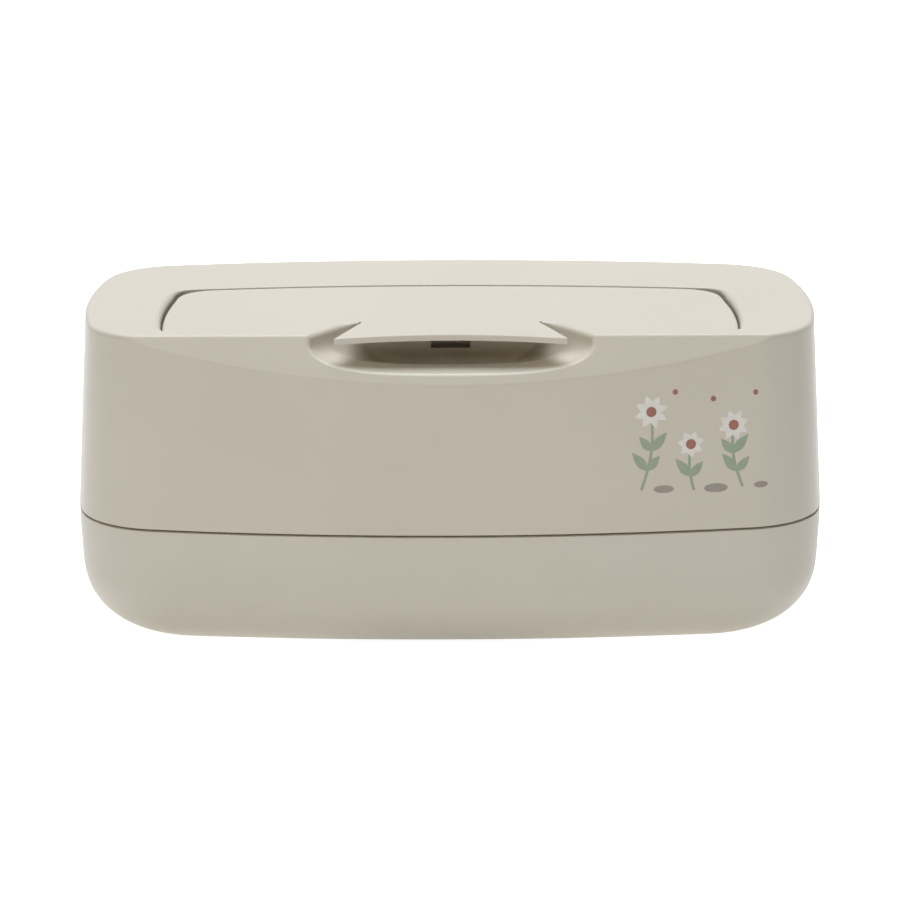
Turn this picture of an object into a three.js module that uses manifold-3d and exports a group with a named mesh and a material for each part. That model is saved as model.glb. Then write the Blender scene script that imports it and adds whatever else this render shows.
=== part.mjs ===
// A baby wipes box in two moulded shells. A round-bottomed tray carries a lift-off cover, and a flap lid
// with a dovetail tab is let into the cover's flat top. A finger scoop opens under the tab, a sealed
// dispensing mouth lies under the lid, and a weighted press plate lies on the wipes.
// Millimetres, +Z up, +X to the box's right seen from the front, -Y towards the user. The origin is on the
// surface that the box stands on, under its middle.
import * as THREE from "three";
import { mergeVertices } from "three/addons/utils/BufferGeometryUtils.js";
import Module from "manifold-3d";

const wasm = await Module();
wasm.setup();

// Overall form, taken at the split between tray and cover
const bodyLength = 240;
const bodyDepth = 128;
const topHeight = 102.6;
const splitHeight = 41.5;
const frontBowRadius = 570; // the long sides are shallow arcs
const endBowRadius = 180; // the short ends are arcs too
const cornerRadius = 28.5;
const overrun = 3; // how far every cutting tool passes through what it cuts

// Tray
const footStandOff = 1.0; // the feet hold the tray this far off the surface
const trayWall = 2.2;
const trayFloor = 2.2;
const trayLean = 0.5; // how far the tray's wall draws in from the split to the rounding
const trayRoundUp = 24; // bottom rounding, measured upwards
const trayFloorEndInset = 30; // from the end of the box to the flat of the floor
const trayFloorSideInset = 27; // from the front or back of the box to the flat of the floor
const trayFloorBowRadius = 950; // the flat has straighter sides than the box
const trayFloorEndRadius = 460;
const trayFloorCorner = 13;
const trayRimThickening = 8; // height below the split over which the wall thickens to carry the spigot
const trayRimBlend = 2.5;

// Spigot of the tray, which stands up inside the cover
const spigotHeight = 6.8;
const spigotThickness = 1.8;
const spigotClearance = 0.35;
const spigotChamfer = 0.6;
const sealGrooveRise = 1.6; // from the split up to the groove
const sealGrooveHeight = 1.6;
const sealGrooveDepth = 0.9;
const sealSlack = 0.12; // between the split seal and every wall round it
const beadRise = 4.9; // middle of the snap beads above the split
const beadHeight = 1.0;
const beadLength = 30;
const beadReach = 0.3; // how far a bead stands into the cover's groove
const beadGap = 0.15;

// Feet
const footRadius = 7;
const footPocketDepth = 1.0;
const footPocketClearance = 0.2;
const footInsetX = 48; // from the end of the box to a foot's middle
const footInsetY = 40; // from the front or back of the box to a foot's middle
const footBevel = 0.4;

// Cover shell
const splitGap = 0.7; // the shadow line between tray and cover
const coverWall = 2.2;
const coverTopThickness = 2.2;
const coverTopInset = 3.6; // how far the drafted wall has drawn in at the top
const coverEdgeBevel = 0.9;
const facetSetBack = 13.6; // from the front of the box, at the split, to the front edge of the flat top
const facetTilt = THREE.MathUtils.degToRad(39); // of the front facet, from upright

// Lid well, the sunk bed that the lid closes over
const wellWall = 2.0;
const lipThickness = 2.0; // the lip that runs in front of the lid, and the catch wall between its ends
const wellEndInset = 29.3; // from the end of the box to the end of the well
const wellWidestFrom = 32.4; // from the facet back to where the well is longest, for its ends are arcs
const shelfDepth = 43.4; // from the back of the box to the rear edge of the well, on the centre line
const wellRearCorner = 6;
const wellFrontCorner = 4;
const wellDepth = 10;
const deckThickness = 2.0;
const troughDepth = 4.2; // how much deeper the hinge trough is than the deck
const troughFront = 3.3; // from the hinge axis forward to the trough's front

// Finger scoop in the front edge
const scoopHalfFront = 43.6; // half-width where it opens on the facet
const scoopFlare = 0.74; // how much its half-width grows for each millimetre forward
const scoopLength = 16.4; // from the facet's top edge back to its back wall
const scoopBackCornerWidth = 2.8;
const scoopBackCornerDepth = 4.5;
const scoopRimDepth = 10.3; // below the top
const scoopShelf = 12; // from the rim back, the level shelf before the floor falls into the pocket
const scoopBackDepth = 18; // below the top
const scoopRoundness = 3.1; // exponent of the superellipse that its cross-section follows
const catchWallDrop = 4.9; // top of the catch wall below the box's top
const catchWindowHalf = 6.2;
const catchWindowHeight = 2.4;
const catchBarHeight = 0.9; // bar left above the window

// Dispensing mouth and its sealing collar
const collarEndInset = 24.7; // from the end of the well
const collarToCatch = 3; // from the catch wall back to the collar
const collarWall = 1.8;
const collarHeight = 5.8;
const collarCorner = 15;

// Lid
const lidThickness = 2.0;
const lidDrop = 0.15; // how far it lies below the box's top
const lidEndGap = 1.4; // between the widest places of well and lid
const lidWidestFrom = 24.9; // from the facet, as for the well
const lidRearGap = 1.4;
const lidRearCorner = 11.5;
const lidFrontCorner = 3;
const lidFrontGap = 0.35;
const lidEdgeBevel = 0.5;
const tabRootHalf = 27.9;
const tabRootSetBack = 1.1; // how far behind the scoop's back wall its sides start
const tabTipHalf = 36.2;
const tabOverhang = 4.4; // how far its corners stand out past the facet's top edge
const tabTipHollow = 5.4; // depth of the hollow curve in the tab's front edge
const tabSideGap = 0.75; // between the tab's root and the ends of the lip
const ribHeight = 1.2;
const ribThickness = 1.1;
const hookThickness = 1.6;
const hookHalf = 5.3;
const hookGap = 0.35;
const hookBarb = 0.9;
const hookBarbHeight = 0.8;
const hookBarbPlay = 0.3; // between the barb and the bar over it

// Seal under the lid
const lidSealWidth = 2.4;
const lidSealGap = 0.2;
const lidSealToLid = 0.1;

// Hinge
const hingeSetForward = 11.1; // from the rear edge of the well
const hingeDrop = 3.4; // hinge axis below the box's top
const hingeEndInset = 25.3; // from the end of the lid to the middle of a hinge
const knuckleRadius = 2.6;
const knuckleLength = 8;
const earRadius = 2.2;
const earWebFront = 2.2; // the ear's web, forward of the axis
const earWebRear = 0.4; // and behind it
const earThickness = 3;
const earGap = 0.3; // between knuckle and ear
const pinRadius = 1.1;
const pinOverEar = 0.6;
const pinEarClearance = 0.1;
const pinKnuckleClearance = 0.18;
const earRelief = 0.25; // clearance round an ear in the lid's underside

// Press plate with its steel weights
const plateEndInset = 32; // from the end of the box
const plateSideInset = 25; // from the front or back of the box
const plateCorner = 22;
const plateTopThickness = 5.2;
const plateCoverThickness = 1.6;
const plateFloorGap = 0.6;
const plateSeam = 0.3; // between plate, cover and weights
const plateMouthHalfLength = 46;
const plateMouthHalfDepth = 17;
const plateMouthCorner = 16.5;
const plateMouthRim = 2.0;
const plateMouthRimHeight = 1.6;
const plateBevel = 1.0;
const weightHalfLength = 11;
const weightSideInset = 13; // from the front or back of the plate
const weightThickness = 3;
const weightCorner = 3;

// Numbers of facets
const bowSteps = 10;
const endSteps = 8;
const cornerSteps = 7;
const smallCornerSteps = 6;
const roundSteps = 20;
const bottomRoundSteps = 7;
const scoopColumns = 24;
const scoopRows = 8;
const lipSteps = 10;
const weldDistance = 1e-4; // vertices closer than this are one
const roundestShare = 0.97; // of a rectangle's half-width, the most that its corners are rounded

// Heights that several pieces share
const trayBottom = footStandOff;
const trayInside = trayBottom + trayFloor;
const coverBottom = splitHeight + splitGap;
const deckTop = topHeight - wellDepth;
const deckBottom = deckTop - deckThickness;
const troughTop = deckTop - troughDepth;
const troughBottom = troughTop - deckThickness;
const lidTop = topHeight - lidDrop;
const lidBottom = lidTop - lidThickness;
const hingeZ = topHeight - hingeDrop;
const collarTop = deckTop + collarHeight;

// Places in plan that several pieces share
const facetSlope = Math.tan(facetTilt);
const facetTopY = bodyDepth / 2 - facetSetBack; // the facet's top edge, forward of the middle
const scoopBackY = facetTopY - scoopLength;
const scoopRimY = facetTopY + scoopRimDepth * facetSlope;
const wellHalfLength = bodyLength / 2 - wellEndInset;
const wellRearY = bodyDepth / 2 - shelfDepth;
const lidHalfLength = wellHalfLength - lidEndGap;
const hingeY = wellRearY - hingeSetForward;
const hingeMiddleX = lidHalfLength - hingeEndInset;
const troughFrontY = hingeY - troughFront;
const collarFrontY = lipThickness + collarToCatch - scoopBackY;
const collarRearY = troughFrontY - wellWall;
const collarHalfLength = wellHalfLength - collarEndInset;
const collarHalfDepth = (collarRearY - collarFrontY) / 2;
const collarMiddleY = (collarRearY + collarFrontY) / 2;

// Draft of the cover's wall: how far it has drawn in at a height
const drawIn = (z) => (coverTopInset * (z - splitHeight)) / (topHeight - splitHeight);

// Plan outlines

// Points along an arc, with the last point left to whatever follows
function arcPoints(centre, radius, from, to, steps) {
  return Array.from({ length: steps }, (_, i) => {
    const angle = from + ((to - from) * i) / steps;
    const normal = new THREE.Vector2(Math.cos(angle), Math.sin(angle));
    return { at: centre.clone().addScaledVector(normal, radius), normal };
  });
}

// A plan of shallow arcs for front, back and ends, joined by tangent corner arcs. It starts at the middle of
// the right end and runs anticlockwise, and each point keeps its outward normal.
function bowedOutline({ length, depth, bow, endBow, corner: round }) {
  const longCentre = new THREE.Vector2(0, depth / 2 - bow);
  const endCentre = new THREE.Vector2(length / 2 - endBow, 0);
  const toLong = bow - round;
  const toEnd = endBow - round;
  const between = endCentre.clone().sub(longCentre);
  const apart = between.length();
  const along = (toLong ** 2 - toEnd ** 2 + apart ** 2) / (2 * apart);
  const across = Math.sqrt(toLong ** 2 - along ** 2);
  const unit = between.normalize();
  const corner = longCentre.clone().addScaledVector(unit, along);
  corner.add(new THREE.Vector2(unit.y, -unit.x).multiplyScalar(across));
  const endAngle = corner.clone().sub(endCentre).angle();
  const longAngle = corner.clone().sub(longCentre).angle();
  const upright = Math.PI / 2;
  const quarter = [
    ...arcPoints(endCentre, endBow, 0, endAngle, endSteps / 2),
    ...arcPoints(corner, round, endAngle, longAngle, cornerSteps),
    ...arcPoints(longCentre, bow, longAngle, upright, bowSteps / 2),
    { at: new THREE.Vector2(0, depth / 2), normal: new THREE.Vector2(0, 1) },
  ];
  const flip = (points, sx, sy) =>
    points.map(({ at, normal }) => ({
      at: new THREE.Vector2(at.x * sx, at.y * sy),
      normal: new THREE.Vector2(normal.x * sx, normal.y * sy),
    }));
  const half = [...quarter, ...flip(quarter, -1, 1).reverse().slice(1)];
  return [...half, ...flip(half, 1, -1).reverse().slice(1, -1)];
}
const boxPlan = bowedOutline({
  length: bodyLength,
  depth: bodyDepth,
  bow: frontBowRadius,
  endBow: endBowRadius,
  corner: cornerRadius,
});
const floorPlan = bowedOutline({
  length: bodyLength - 2 * trayFloorEndInset,
  depth: bodyDepth - 2 * trayFloorSideInset,
  bow: trayFloorBowRadius,
  endBow: trayFloorEndRadius,
  corner: trayFloorCorner,
});

// The box's plan drawn in, and a share of the way from there to the plan of the tray's flat floor
const insetPlan = (inset, toFloor) =>
  boxPlan.map(({ at, normal }, i) =>
    at.clone().addScaledVector(normal, -inset).lerp(floorPlan[i].at, toFloor),
  );

// A rectangle with round corners, anticlockwise. A positive inset draws it in all round and a negative one
// lets it out. A narrow rectangle rounds its corners less.
function roundedRectangle([fullX, fullY, corner], inset, middleX = 0, middleY = 0) {
  const fullRadius = Math.min(corner, roundestShare * Math.min(fullX, fullY));
  const [halfX, halfY, radius] = [fullX - inset, fullY - inset, fullRadius - inset];
  const turn = Math.PI / 2;
  const corners = [
    [1, 1],
    [-1, 1],
    [-1, -1],
    [1, -1],
  ];
  return corners.flatMap(([sx, sy], i) => {
    const centre = new THREE.Vector2(middleX + sx * (halfX - radius), middleY + sy * (halfY - radius));
    const arc = arcPoints(centre, radius, i * turn, (i + 1) * turn, smallCornerSteps);
    const last = new THREE.Vector2(Math.cos((i + 1) * turn), Math.sin((i + 1) * turn));
    return [...arc.map((p) => p.at), centre.clone().addScaledVector(last, radius)];
  });
}

// Solids

// A closed geometry as a manifold solid
function solid(geometry) {
  const bare = geometry.clone();
  bare.deleteAttribute("normal");
  bare.deleteAttribute("uv");
  const merged = mergeVertices(bare, weldDistance);
  return new wasm.Manifold(
    new wasm.Mesh({
      numProp: 3,
      vertProperties: merged.attributes.position.array,
      triVerts: new Uint32Array(merged.index.array),
    }),
  );
}

// A manifold solid as a named mesh
function piece(name, made, material) {
  const { vertProperties, triVerts, numProp } = made.getMesh();
  const position = new Float32Array((vertProperties.length / numProp) * 3);
  for (let i = 0; i < position.length / 3; i++)
    for (let k = 0; k < 3; k++) position[3 * i + k] = vertProperties[numProp * i + k];
  const geometry = new THREE.BufferGeometry();
  geometry.setAttribute("position", new THREE.BufferAttribute(position, 3));
  geometry.setIndex(new THREE.BufferAttribute(new Uint32Array(triVerts), 1));
  geometry.computeVertexNormals();
  const mesh = new THREE.Mesh(geometry, material);
  mesh.name = name;
  return mesh;
}

// A solid stacked from insets of the box's plan: levels are [inset, z] from the bottom up, or [inset, z,
// share of the way to the floor's plan]
function stack(levels) {
  const rings = levels.map(([inset, z, toFloor = 0]) =>
    insetPlan(inset, toFloor).map((p) => new THREE.Vector3(p.x, p.y, z)),
  );
  const count = boxPlan.length;
  const points = rings.flat();
  const index = [];
  for (let r = 0; r + 1 < rings.length; r++)
    for (let i = 0; i < count; i++) {
      const [a, b] = [r * count + i, r * count + ((i + 1) % count)];
      index.push(a, b, b + count, a, b + count, a + count);
    }
  const top = (rings.length - 1) * count;
  for (let i = 1; i + 1 < count; i++) {
    index.push(0, i + 1, i);
    index.push(top, top + i, top + i + 1);
  }
  const geometry = new THREE.BufferGeometry().setFromPoints(points);
  geometry.setIndex(index);
  return solid(geometry);
}

// A ring between two insets of the box's plan, drawn in with the cover's wall
function ring(outerInset, innerInset, low, high) {
  const level = (inset, z) => [inset + drawIn(z), z];
  const outer = stack([level(outerInset, low), level(outerInset, high)]);
  const inner = stack([level(innerInset, low - overrun), level(innerInset, high + overrun)]);
  return outer.subtract(inner);
}

// A plan outline raised from one height to another
function prism(points, low, high) {
  const raised = { depth: high - low, bevelEnabled: false };
  return solid(new THREE.ExtrudeGeometry(new THREE.Shape(points), raised).translate(0, 0, low));
}

// The same, with an equal bevel along its top edge or its bottom edge
function bevelledPrism(outlineAt, low, high, bevel, bevelTop = true) {
  const steps = bevelTop
    ? [[0, low], [0, high - bevel], [bevel, high]]
    : [[bevel, low], [0, low + bevel], [0, high]];
  const rings = steps.map(([inset, z]) => outlineAt(inset).map((p) => new THREE.Vector3(p.x, p.y, z)));
  const count = rings[0].length;
  const caps = THREE.ShapeUtils.triangulateShape(outlineAt(0), []);
  const index = [];
  for (let r = 0; r < 2; r++)
    for (let i = 0; i < count; i++) {
      const [a, b] = [r * count + i, r * count + ((i + 1) % count)];
      index.push(a, b, b + count, a, b + count, a + count);
    }
  for (const [a, b, c] of caps) {
    index.push(a, c, b);
    index.push(2 * count + a, 2 * count + b, 2 * count + c);
  }
  const geometry = new THREE.BufferGeometry().setFromPoints(rings.flat());
  geometry.setIndex(index);
  return solid(geometry);
}

// An outline in the Y-Z plane carried along X
function sidePrism(yz, fromX, toX) {
  const outline = new THREE.Shape(yz.map(([y, z]) => new THREE.Vector2(y, z)));
  const geometry = new THREE.ExtrudeGeometry(outline, { depth: toX - fromX, bevelEnabled: false });
  // shape x to Y, shape y to Z, depth to X
  const axes = new THREE.Matrix4().makeBasis(
    new THREE.Vector3(0, 1, 0),
    new THREE.Vector3(0, 0, 1),
    new THREE.Vector3(1, 0, 0),
  );
  return solid(geometry.applyMatrix4(axes).translate(fromX, 0, 0));
}

function block(lowCorner, highCorner) {
  const size = highCorner.map((v, i) => v - lowCorner[i]);
  const middle = highCorner.map((v, i) => (v + lowCorner[i]) / 2);
  return solid(new THREE.BoxGeometry(...size).translate(...middle));
}

// A round bar along X about the hinge axis
function hingeBar(radius, fromX, toX) {
  const bar = new THREE.CylinderGeometry(radius, radius, toX - fromX, roundSteps);
  return solid(bar.rotateZ(Math.PI / 2).translate((fromX + toX) / 2, hingeY, hingeZ));
}

function upright(radius, x, y, low, high) {
  const bar = new THREE.CylinderGeometry(radius, radius, high - low, roundSteps);
  return solid(bar.rotateX(Math.PI / 2).translate(x, y, (low + high) / 2));
}

// Finishes

const paint = (color, roughness, metalness = 0) =>
  new THREE.MeshStandardMaterial({ color, roughness, metalness });
const coverPlastic = paint(0xd3ccbd, 0.5);
const trayPlastic = paint(0xcfc8b9, 0.5);
const innerPlastic = paint(0xdad5c9, 0.45);
const sealRubber = paint(0xb9b3a6, 0.8);
const footRubber = paint(0x8f897d, 0.85);
const pinSteel = paint(0xb8babc, 0.3, 1);
const weightSteel = paint(0x9a9c9e, 0.4, 1);

// Tray and what is fixed to it

// Levels round the tray's bottom corner, from the floor up: for the outside, or set in for the inside
function bottomRound(wall, floor) {
  return Array.from({ length: bottomRoundSteps + 1 }, (_, i) => {
    const angle = (Math.PI / 2) * (1 - i / bottomRoundSteps);
    const z = trayBottom + floor + (trayRoundUp - floor) * (1 - Math.sin(angle));
    return [trayLean + wall, z, 1 - Math.cos(angle)];
  });
}

const spigotOuter = coverWall + spigotClearance;
const spigotInner = spigotOuter + spigotThickness;
const spigotTop = splitHeight + spigotHeight;
const footPlaces = [-1, 1].flatMap((sy) =>
  [-1, 1].map((sx) => ({
    name: `foot_${sy < 0 ? "front" : "rear"}_${sx < 0 ? "left" : "right"}`,
    x: sx * (bodyLength / 2 - footInsetX),
    y: sy * (bodyDepth / 2 - footInsetY),
  })),
);

// The stretch of a ring that lies on the two ends of the box, where the snap beads are
function onEnds(made, length) {
  const half = length / 2;
  const reach = bodyLength / 2 + overrun;
  return made.intersect(block([-reach, -half, 0], [reach, half, topHeight]));
}

function baseTray() {
  const outside = stack([
    ...bottomRound(0, 0),
    [0, splitHeight],
    [spigotOuter, splitHeight],
    [spigotOuter + drawIn(spigotTop - spigotChamfer), spigotTop - spigotChamfer],
    [spigotOuter + drawIn(spigotTop) + spigotChamfer, spigotTop],
  ]);
  const inside = stack([
    ...bottomRound(trayWall, trayFloor),
    [trayWall, splitHeight - trayRimThickening],
    [spigotInner, splitHeight - trayRimThickening + trayRimBlend],
    [spigotInner + drawIn(spigotTop + overrun), spigotTop + overrun],
  ]);
  const grooveLow = splitHeight + sealGrooveRise;
  const groove = ring(0, spigotOuter + sealGrooveDepth, grooveLow, grooveLow + sealGrooveHeight);
  const beadLow = splitHeight + beadRise - beadHeight / 2;
  const bead = ring(coverWall - beadReach, spigotOuter + spigotThickness / 2, beadLow, beadLow + beadHeight);
  const pockets = footPlaces.map(({ x, y }) =>
    upright(footRadius + footPocketClearance, x, y, trayBottom - overrun, trayBottom + footPocketDepth),
  );
  const tray = outside.subtract(inside).subtract(groove).add(onEnds(bead, beadLength));
  return pockets.reduce((made, pocket) => made.subtract(pocket), tray);
}

function splitSeal() {
  const low = splitHeight + sealGrooveRise + sealSlack;
  const high = splitHeight + sealGrooveRise + sealGrooveHeight - sealSlack;
  return ring(coverWall + sealSlack, spigotOuter + sealGrooveDepth - sealSlack, low, high);
}

function foot({ x, y }) {
  const high = trayBottom + footPocketDepth - footPocketClearance;
  const profile = [
    new THREE.Vector2(0, 0),
    new THREE.Vector2(footRadius - footBevel, 0),
    new THREE.Vector2(footRadius, footBevel),
    new THREE.Vector2(footRadius, high),
    new THREE.Vector2(0, high),
  ];
  return solid(new THREE.LatheGeometry(profile, roundSteps).rotateX(Math.PI / 2).translate(x, y, 0));
}

// Cover

// Everything in front of the facet's plane, moved back by a wall thickness for the inside
function aheadOfFacet(setBack) {
  const top = topHeight + overrun;
  const low = splitHeight;
  const shift = setBack / Math.cos(facetTilt);
  const faceY = (z) => -facetTopY - (topHeight - z) * facetSlope + shift;
  const farY = faceY(low) - bodyDepth;
  return sidePrism(
    [
      [farY, low],
      [faceY(low), low],
      [faceY(top), top],
      [farY, top],
    ],
    -bodyLength,
    bodyLength,
  );
}

// Half-width of the scoop at a distance forward of the middle: straight flared sides, and round back corners
const cornerShare = (forward) => THREE.MathUtils.clamp((forward - scoopBackY) / scoopBackCornerDepth, 0, 1);
function scoopHalfAt(forward) {
  const straight = scoopHalfFront - scoopFlare * (facetTopY - Math.min(forward, facetTopY));
  return straight - scoopBackCornerWidth * (1 - Math.sqrt(1 - (1 - cornerShare(forward)) ** 2));
}

// The scoop's right edge in plan, moved out of it by a distance: from its back wall to a line along the front
function besideScoop(distance, frontY) {
  const end = (distance * scoopFlare) / Math.hypot(1, scoopFlare) - frontY;
  const cornerSlope = scoopBackCornerWidth / scoopBackCornerDepth;
  return Array.from({ length: lipSteps + 1 }, (_, i) => {
    const forward = scoopBackY + (end - scoopBackY) * (i / lipSteps) ** 2;
    const left = 1 - cornerShare(forward);
    const turn = (cornerSlope * left) / Math.sqrt(Math.max(1 - left ** 2, 0));
    const away = i > 0 ? new THREE.Vector2(1, scoopFlare + turn).normalize() : new THREE.Vector2(0, 1);
    return away.multiplyScalar(distance).add(new THREE.Vector2(scoopHalfAt(forward), -forward));
  });
}

// How deep the scoop is there: level behind the rim, then falling to the pocket in a smooth step
function scoopDepthAt(forward) {
  const share = THREE.MathUtils.smootherstep(forward, scoopBackY + scoopBackCornerDepth, scoopRimY - scoopShelf);
  return scoopBackDepth + (scoopRimDepth - scoopBackDepth) * share;
}

// The scoop as a solid, grown by a wall thickness for the pocket that it is cut from. Across, its floor is a
// superellipse hung from the top face.
function scoopSolid(grow) {
  const cornerEnd = scoopBackY + scoopBackCornerDepth;
  const share = (i) => i / scoopRows;
  const rows = [
    ...(grow > 0 ? [scoopBackY - lipThickness] : []),
    ...Array.from({ length: scoopRows }, (_, i) => scoopBackY + scoopBackCornerDepth * share(i) ** 2),
    ...Array.from({ length: scoopRows }, (_, i) => cornerEnd + (scoopRimY - cornerEnd) * share(i)),
    scoopRimY,
    bodyDepth / 2 + overrun,
  ];
  const floor = [];
  const roof = [];
  for (const forward of rows)
    for (let i = 0; i <= scoopColumns; i++) {
      const across = -Math.cos((Math.PI * i) / scoopColumns);
      const hang = (1 - Math.abs(across) ** scoopRoundness) ** (1 / scoopRoundness);
      const x = across * (scoopHalfAt(forward) + grow);
      floor.push(new THREE.Vector3(x, -forward, topHeight - (scoopDepthAt(forward) + grow) * hang));
      roof.push(new THREE.Vector3(x, -forward, topHeight + overrun));
    }
  const index = [];
  const width = scoopColumns + 1;
  const roofStart = floor.length;
  const last = (rows.length - 1) * width;
  const quad = (a, b, c, d) => index.push(a, b, c, a, c, d);
  for (let r = 0; r + 1 < rows.length; r++)
    for (let i = 0; i < scoopColumns; i++) {
      const a = r * width + i;
      quad(a, a + 1, a + 1 + width, a + width);
      const b = roofStart + a;
      quad(b, b + width, b + 1 + width, b + 1);
    }
  for (let i = 0; i < scoopColumns; i++) {
    quad(i, roofStart + i, roofStart + i + 1, i + 1);
    const far = last + i;
    quad(far, far + 1, roofStart + far + 1, roofStart + far);
  }
  for (let r = 0; r + 1 < rows.length; r++) {
    const left = r * width;
    quad(left, left + width, roofStart + left + width, roofStart + left);
    const right = left + scoopColumns;
    quad(right, roofStart + right, roofStart + right + width, right + width);
  }
  const geometry = new THREE.BufferGeometry().setFromPoints([...floor, ...roof]);
  geometry.setIndex(index);
  return solid(geometry);
}

// Rear edge of the well or the lid: an arc that keeps its distance from the box's back
const rearY = (middleY, x) => middleY - x ** 2 / (2 * frontBowRadius);

// End of the well or the lid: an arc like the box's own end
const endX = (halfLength, widestY, y) => halfLength - (y - widestY) ** 2 / (2 * endBowRadius);

// Right half of a plan shared by the well and the lid: from the front corner round the end to the middle of
// the rear edge
function endAndRear({ frontX, frontY, halfLength, widestY, middleY, frontCorner, rearCorner }) {
  const meet = rearY(middleY, halfLength);
  const cornerX = endX(halfLength, widestY, meet);
  const end = (y) => new THREE.Vector2(endX(halfLength, widestY, y), y);
  const rear = (x) => new THREE.Vector2(x, rearY(middleY, x));
  const frontEnd = end(frontY);
  const fromY = frontY + frontCorner;
  const toY = meet - rearCorner;
  const stepY = (toY - fromY) / endSteps;
  const along = Array.from({ length: endSteps - 1 }, (_, i) => end(fromY + stepY * (i + 1)));
  const corner = new THREE.QuadraticBezierCurve(end(toY), rear(cornerX), rear(cornerX - rearCorner));
  const rearSteps = bowSteps / 2;
  const back = Array.from({ length: rearSteps }, (_, i) =>
    rear((cornerX - rearCorner) * (1 - (i + 1) / rearSteps)),
  );
  return [
    ...new THREE.QuadraticBezierCurve(
      new THREE.Vector2(Math.max(frontX, frontEnd.x - frontCorner), frontY),
      frontEnd,
      end(fromY),
    ).getPoints(smallCornerSteps),
    ...along,
    ...corner.getPoints(smallCornerSteps),
    ...back,
  ];
}

// A right half outline, from the middle of the front to the middle of the rear, with its mirror image
const bothHalves = (right, sharedStart) => [
  ...right,
  ...right
    .slice(sharedStart ? 1 : 0, -1)
    .reverse()
    .map((p) => new THREE.Vector2(-p.x, p.y)),
];

// Plan of the lid well, grown outwards by a wall for the solid that it is cut from
function wellPlan(grow) {
  const frontY = -facetTopY + lipThickness - grow;
  const right = [
    ...besideScoop(lipThickness - grow, frontY),
    ...endAndRear({
      frontX: scoopHalfFront,
      frontY,
      halfLength: wellHalfLength + grow,
      widestY: wellWidestFrom - facetTopY,
      middleY: wellRearY + grow,
      frontCorner: wellFrontCorner,
      rearCorner: wellRearCorner,
    }),
  ];
  return bothHalves(right, false);
}

// Plan of the sealing collar's outside, drawn in by an inset
const collarPlan = (inset) =>
  roundedRectangle([collarHalfLength, collarHalfDepth, collarCorner], inset, 0, collarMiddleY);

const earMiddles = [-1, 1].flatMap((side) =>
  [-1, 1].map((end) => side * hingeMiddleX + end * (knuckleLength / 2 + earGap + earThickness / 2)),
);

// One ear: a round boss about the hinge axis on a web that stands in the trough
function hingeEar(middleX) {
  const [from, to] = [middleX - earThickness / 2, middleX + earThickness / 2];
  const foot = troughTop - deckThickness / 2;
  const web = block([from, hingeY - earWebFront, foot], [to, hingeY + earWebRear, hingeZ]);
  const boss = hingeBar(earRadius, from, to);
  const bore = hingeBar(pinRadius + pinEarClearance, from - overrun, to + overrun);
  return web.add(boss).subtract(bore);
}

function upperShell() {
  const topCorner = topHeight - coverEdgeBevel;
  const body = stack([
    [drawIn(coverBottom), coverBottom],
    [drawIn(topCorner), topCorner],
    [drawIn(topHeight) + coverEdgeBevel, topHeight],
  ]).subtract(aheadOfFacet(0));
  const ceiling = topHeight - coverTopThickness;
  const room = stack([
    [coverWall + drawIn(coverBottom - overrun), coverBottom - overrun],
    [coverWall + drawIn(ceiling), ceiling],
  ]).subtract(aheadOfFacet(coverWall));

  const wellBody = prism(wellPlan(wellWall), deckBottom, topHeight);
  const behindTrough = block([-bodyLength, troughFrontY, 0], [bodyLength, bodyDepth, topHeight + overrun]);
  const aroundTrough = block([-bodyLength, troughFrontY - wellWall, 0], [bodyLength, bodyDepth, topHeight]);
  const troughBody = prism(wellPlan(wellWall), troughBottom, topHeight).intersect(aroundTrough);
  const pocketBody = scoopSolid(wellWall).intersect(body);
  const collar = prism(collarPlan(0), deckBottom, collarTop);
  const mouth = prism(collarPlan(collarWall), deckBottom - overrun, topHeight);
  const well = prism(wellPlan(0), deckTop, topHeight + overrun);
  const trough = prism(wellPlan(0), troughTop, topHeight + overrun).intersect(behindTrough);
  const scoop = scoopSolid(0);
  const catchTop = topHeight - catchWallDrop;
  const gateHalf = tabRootHalf + tabSideGap;
  const gate = block(
    [-gateHalf, -scoopBackY - overrun, catchTop],
    [gateHalf, -scoopBackY + lipThickness + overrun, topHeight + overrun],
  );
  const catchWindow = block(
    [-catchWindowHalf, -scoopBackY - overrun / 2, catchTop - catchBarHeight - catchWindowHeight],
    [catchWindowHalf, -scoopBackY + lipThickness + overrun / 2, catchTop - catchBarHeight],
  );
  const beadLow = splitHeight + beadRise - beadHeight / 2 - beadGap;
  const beadGroove = onEnds(
    ring(coverWall - beadReach - beadGap, coverWall + overrun, beadLow, beadLow + beadHeight + 2 * beadGap),
    beadLength + 2 * beadGap,
  );

  const hull = body.subtract(room).add(wellBody.add(troughBody).intersect(body)).add(pocketBody);
  const bedded = hull.subtract(well).subtract(trough).subtract(scoop).subtract(gate).subtract(catchWindow);
  const shell = bedded.add(collar).subtract(mouth).subtract(beadGroove);
  return earMiddles.reduce((made, x) => made.add(hingeEar(x)), shell);
}

function hingePin(side) {
  const reach = knuckleLength / 2 + earGap + earThickness + pinOverEar;
  return hingeBar(pinRadius, side * hingeMiddleX - reach, side * hingeMiddleX + reach);
}

// Lid

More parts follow.
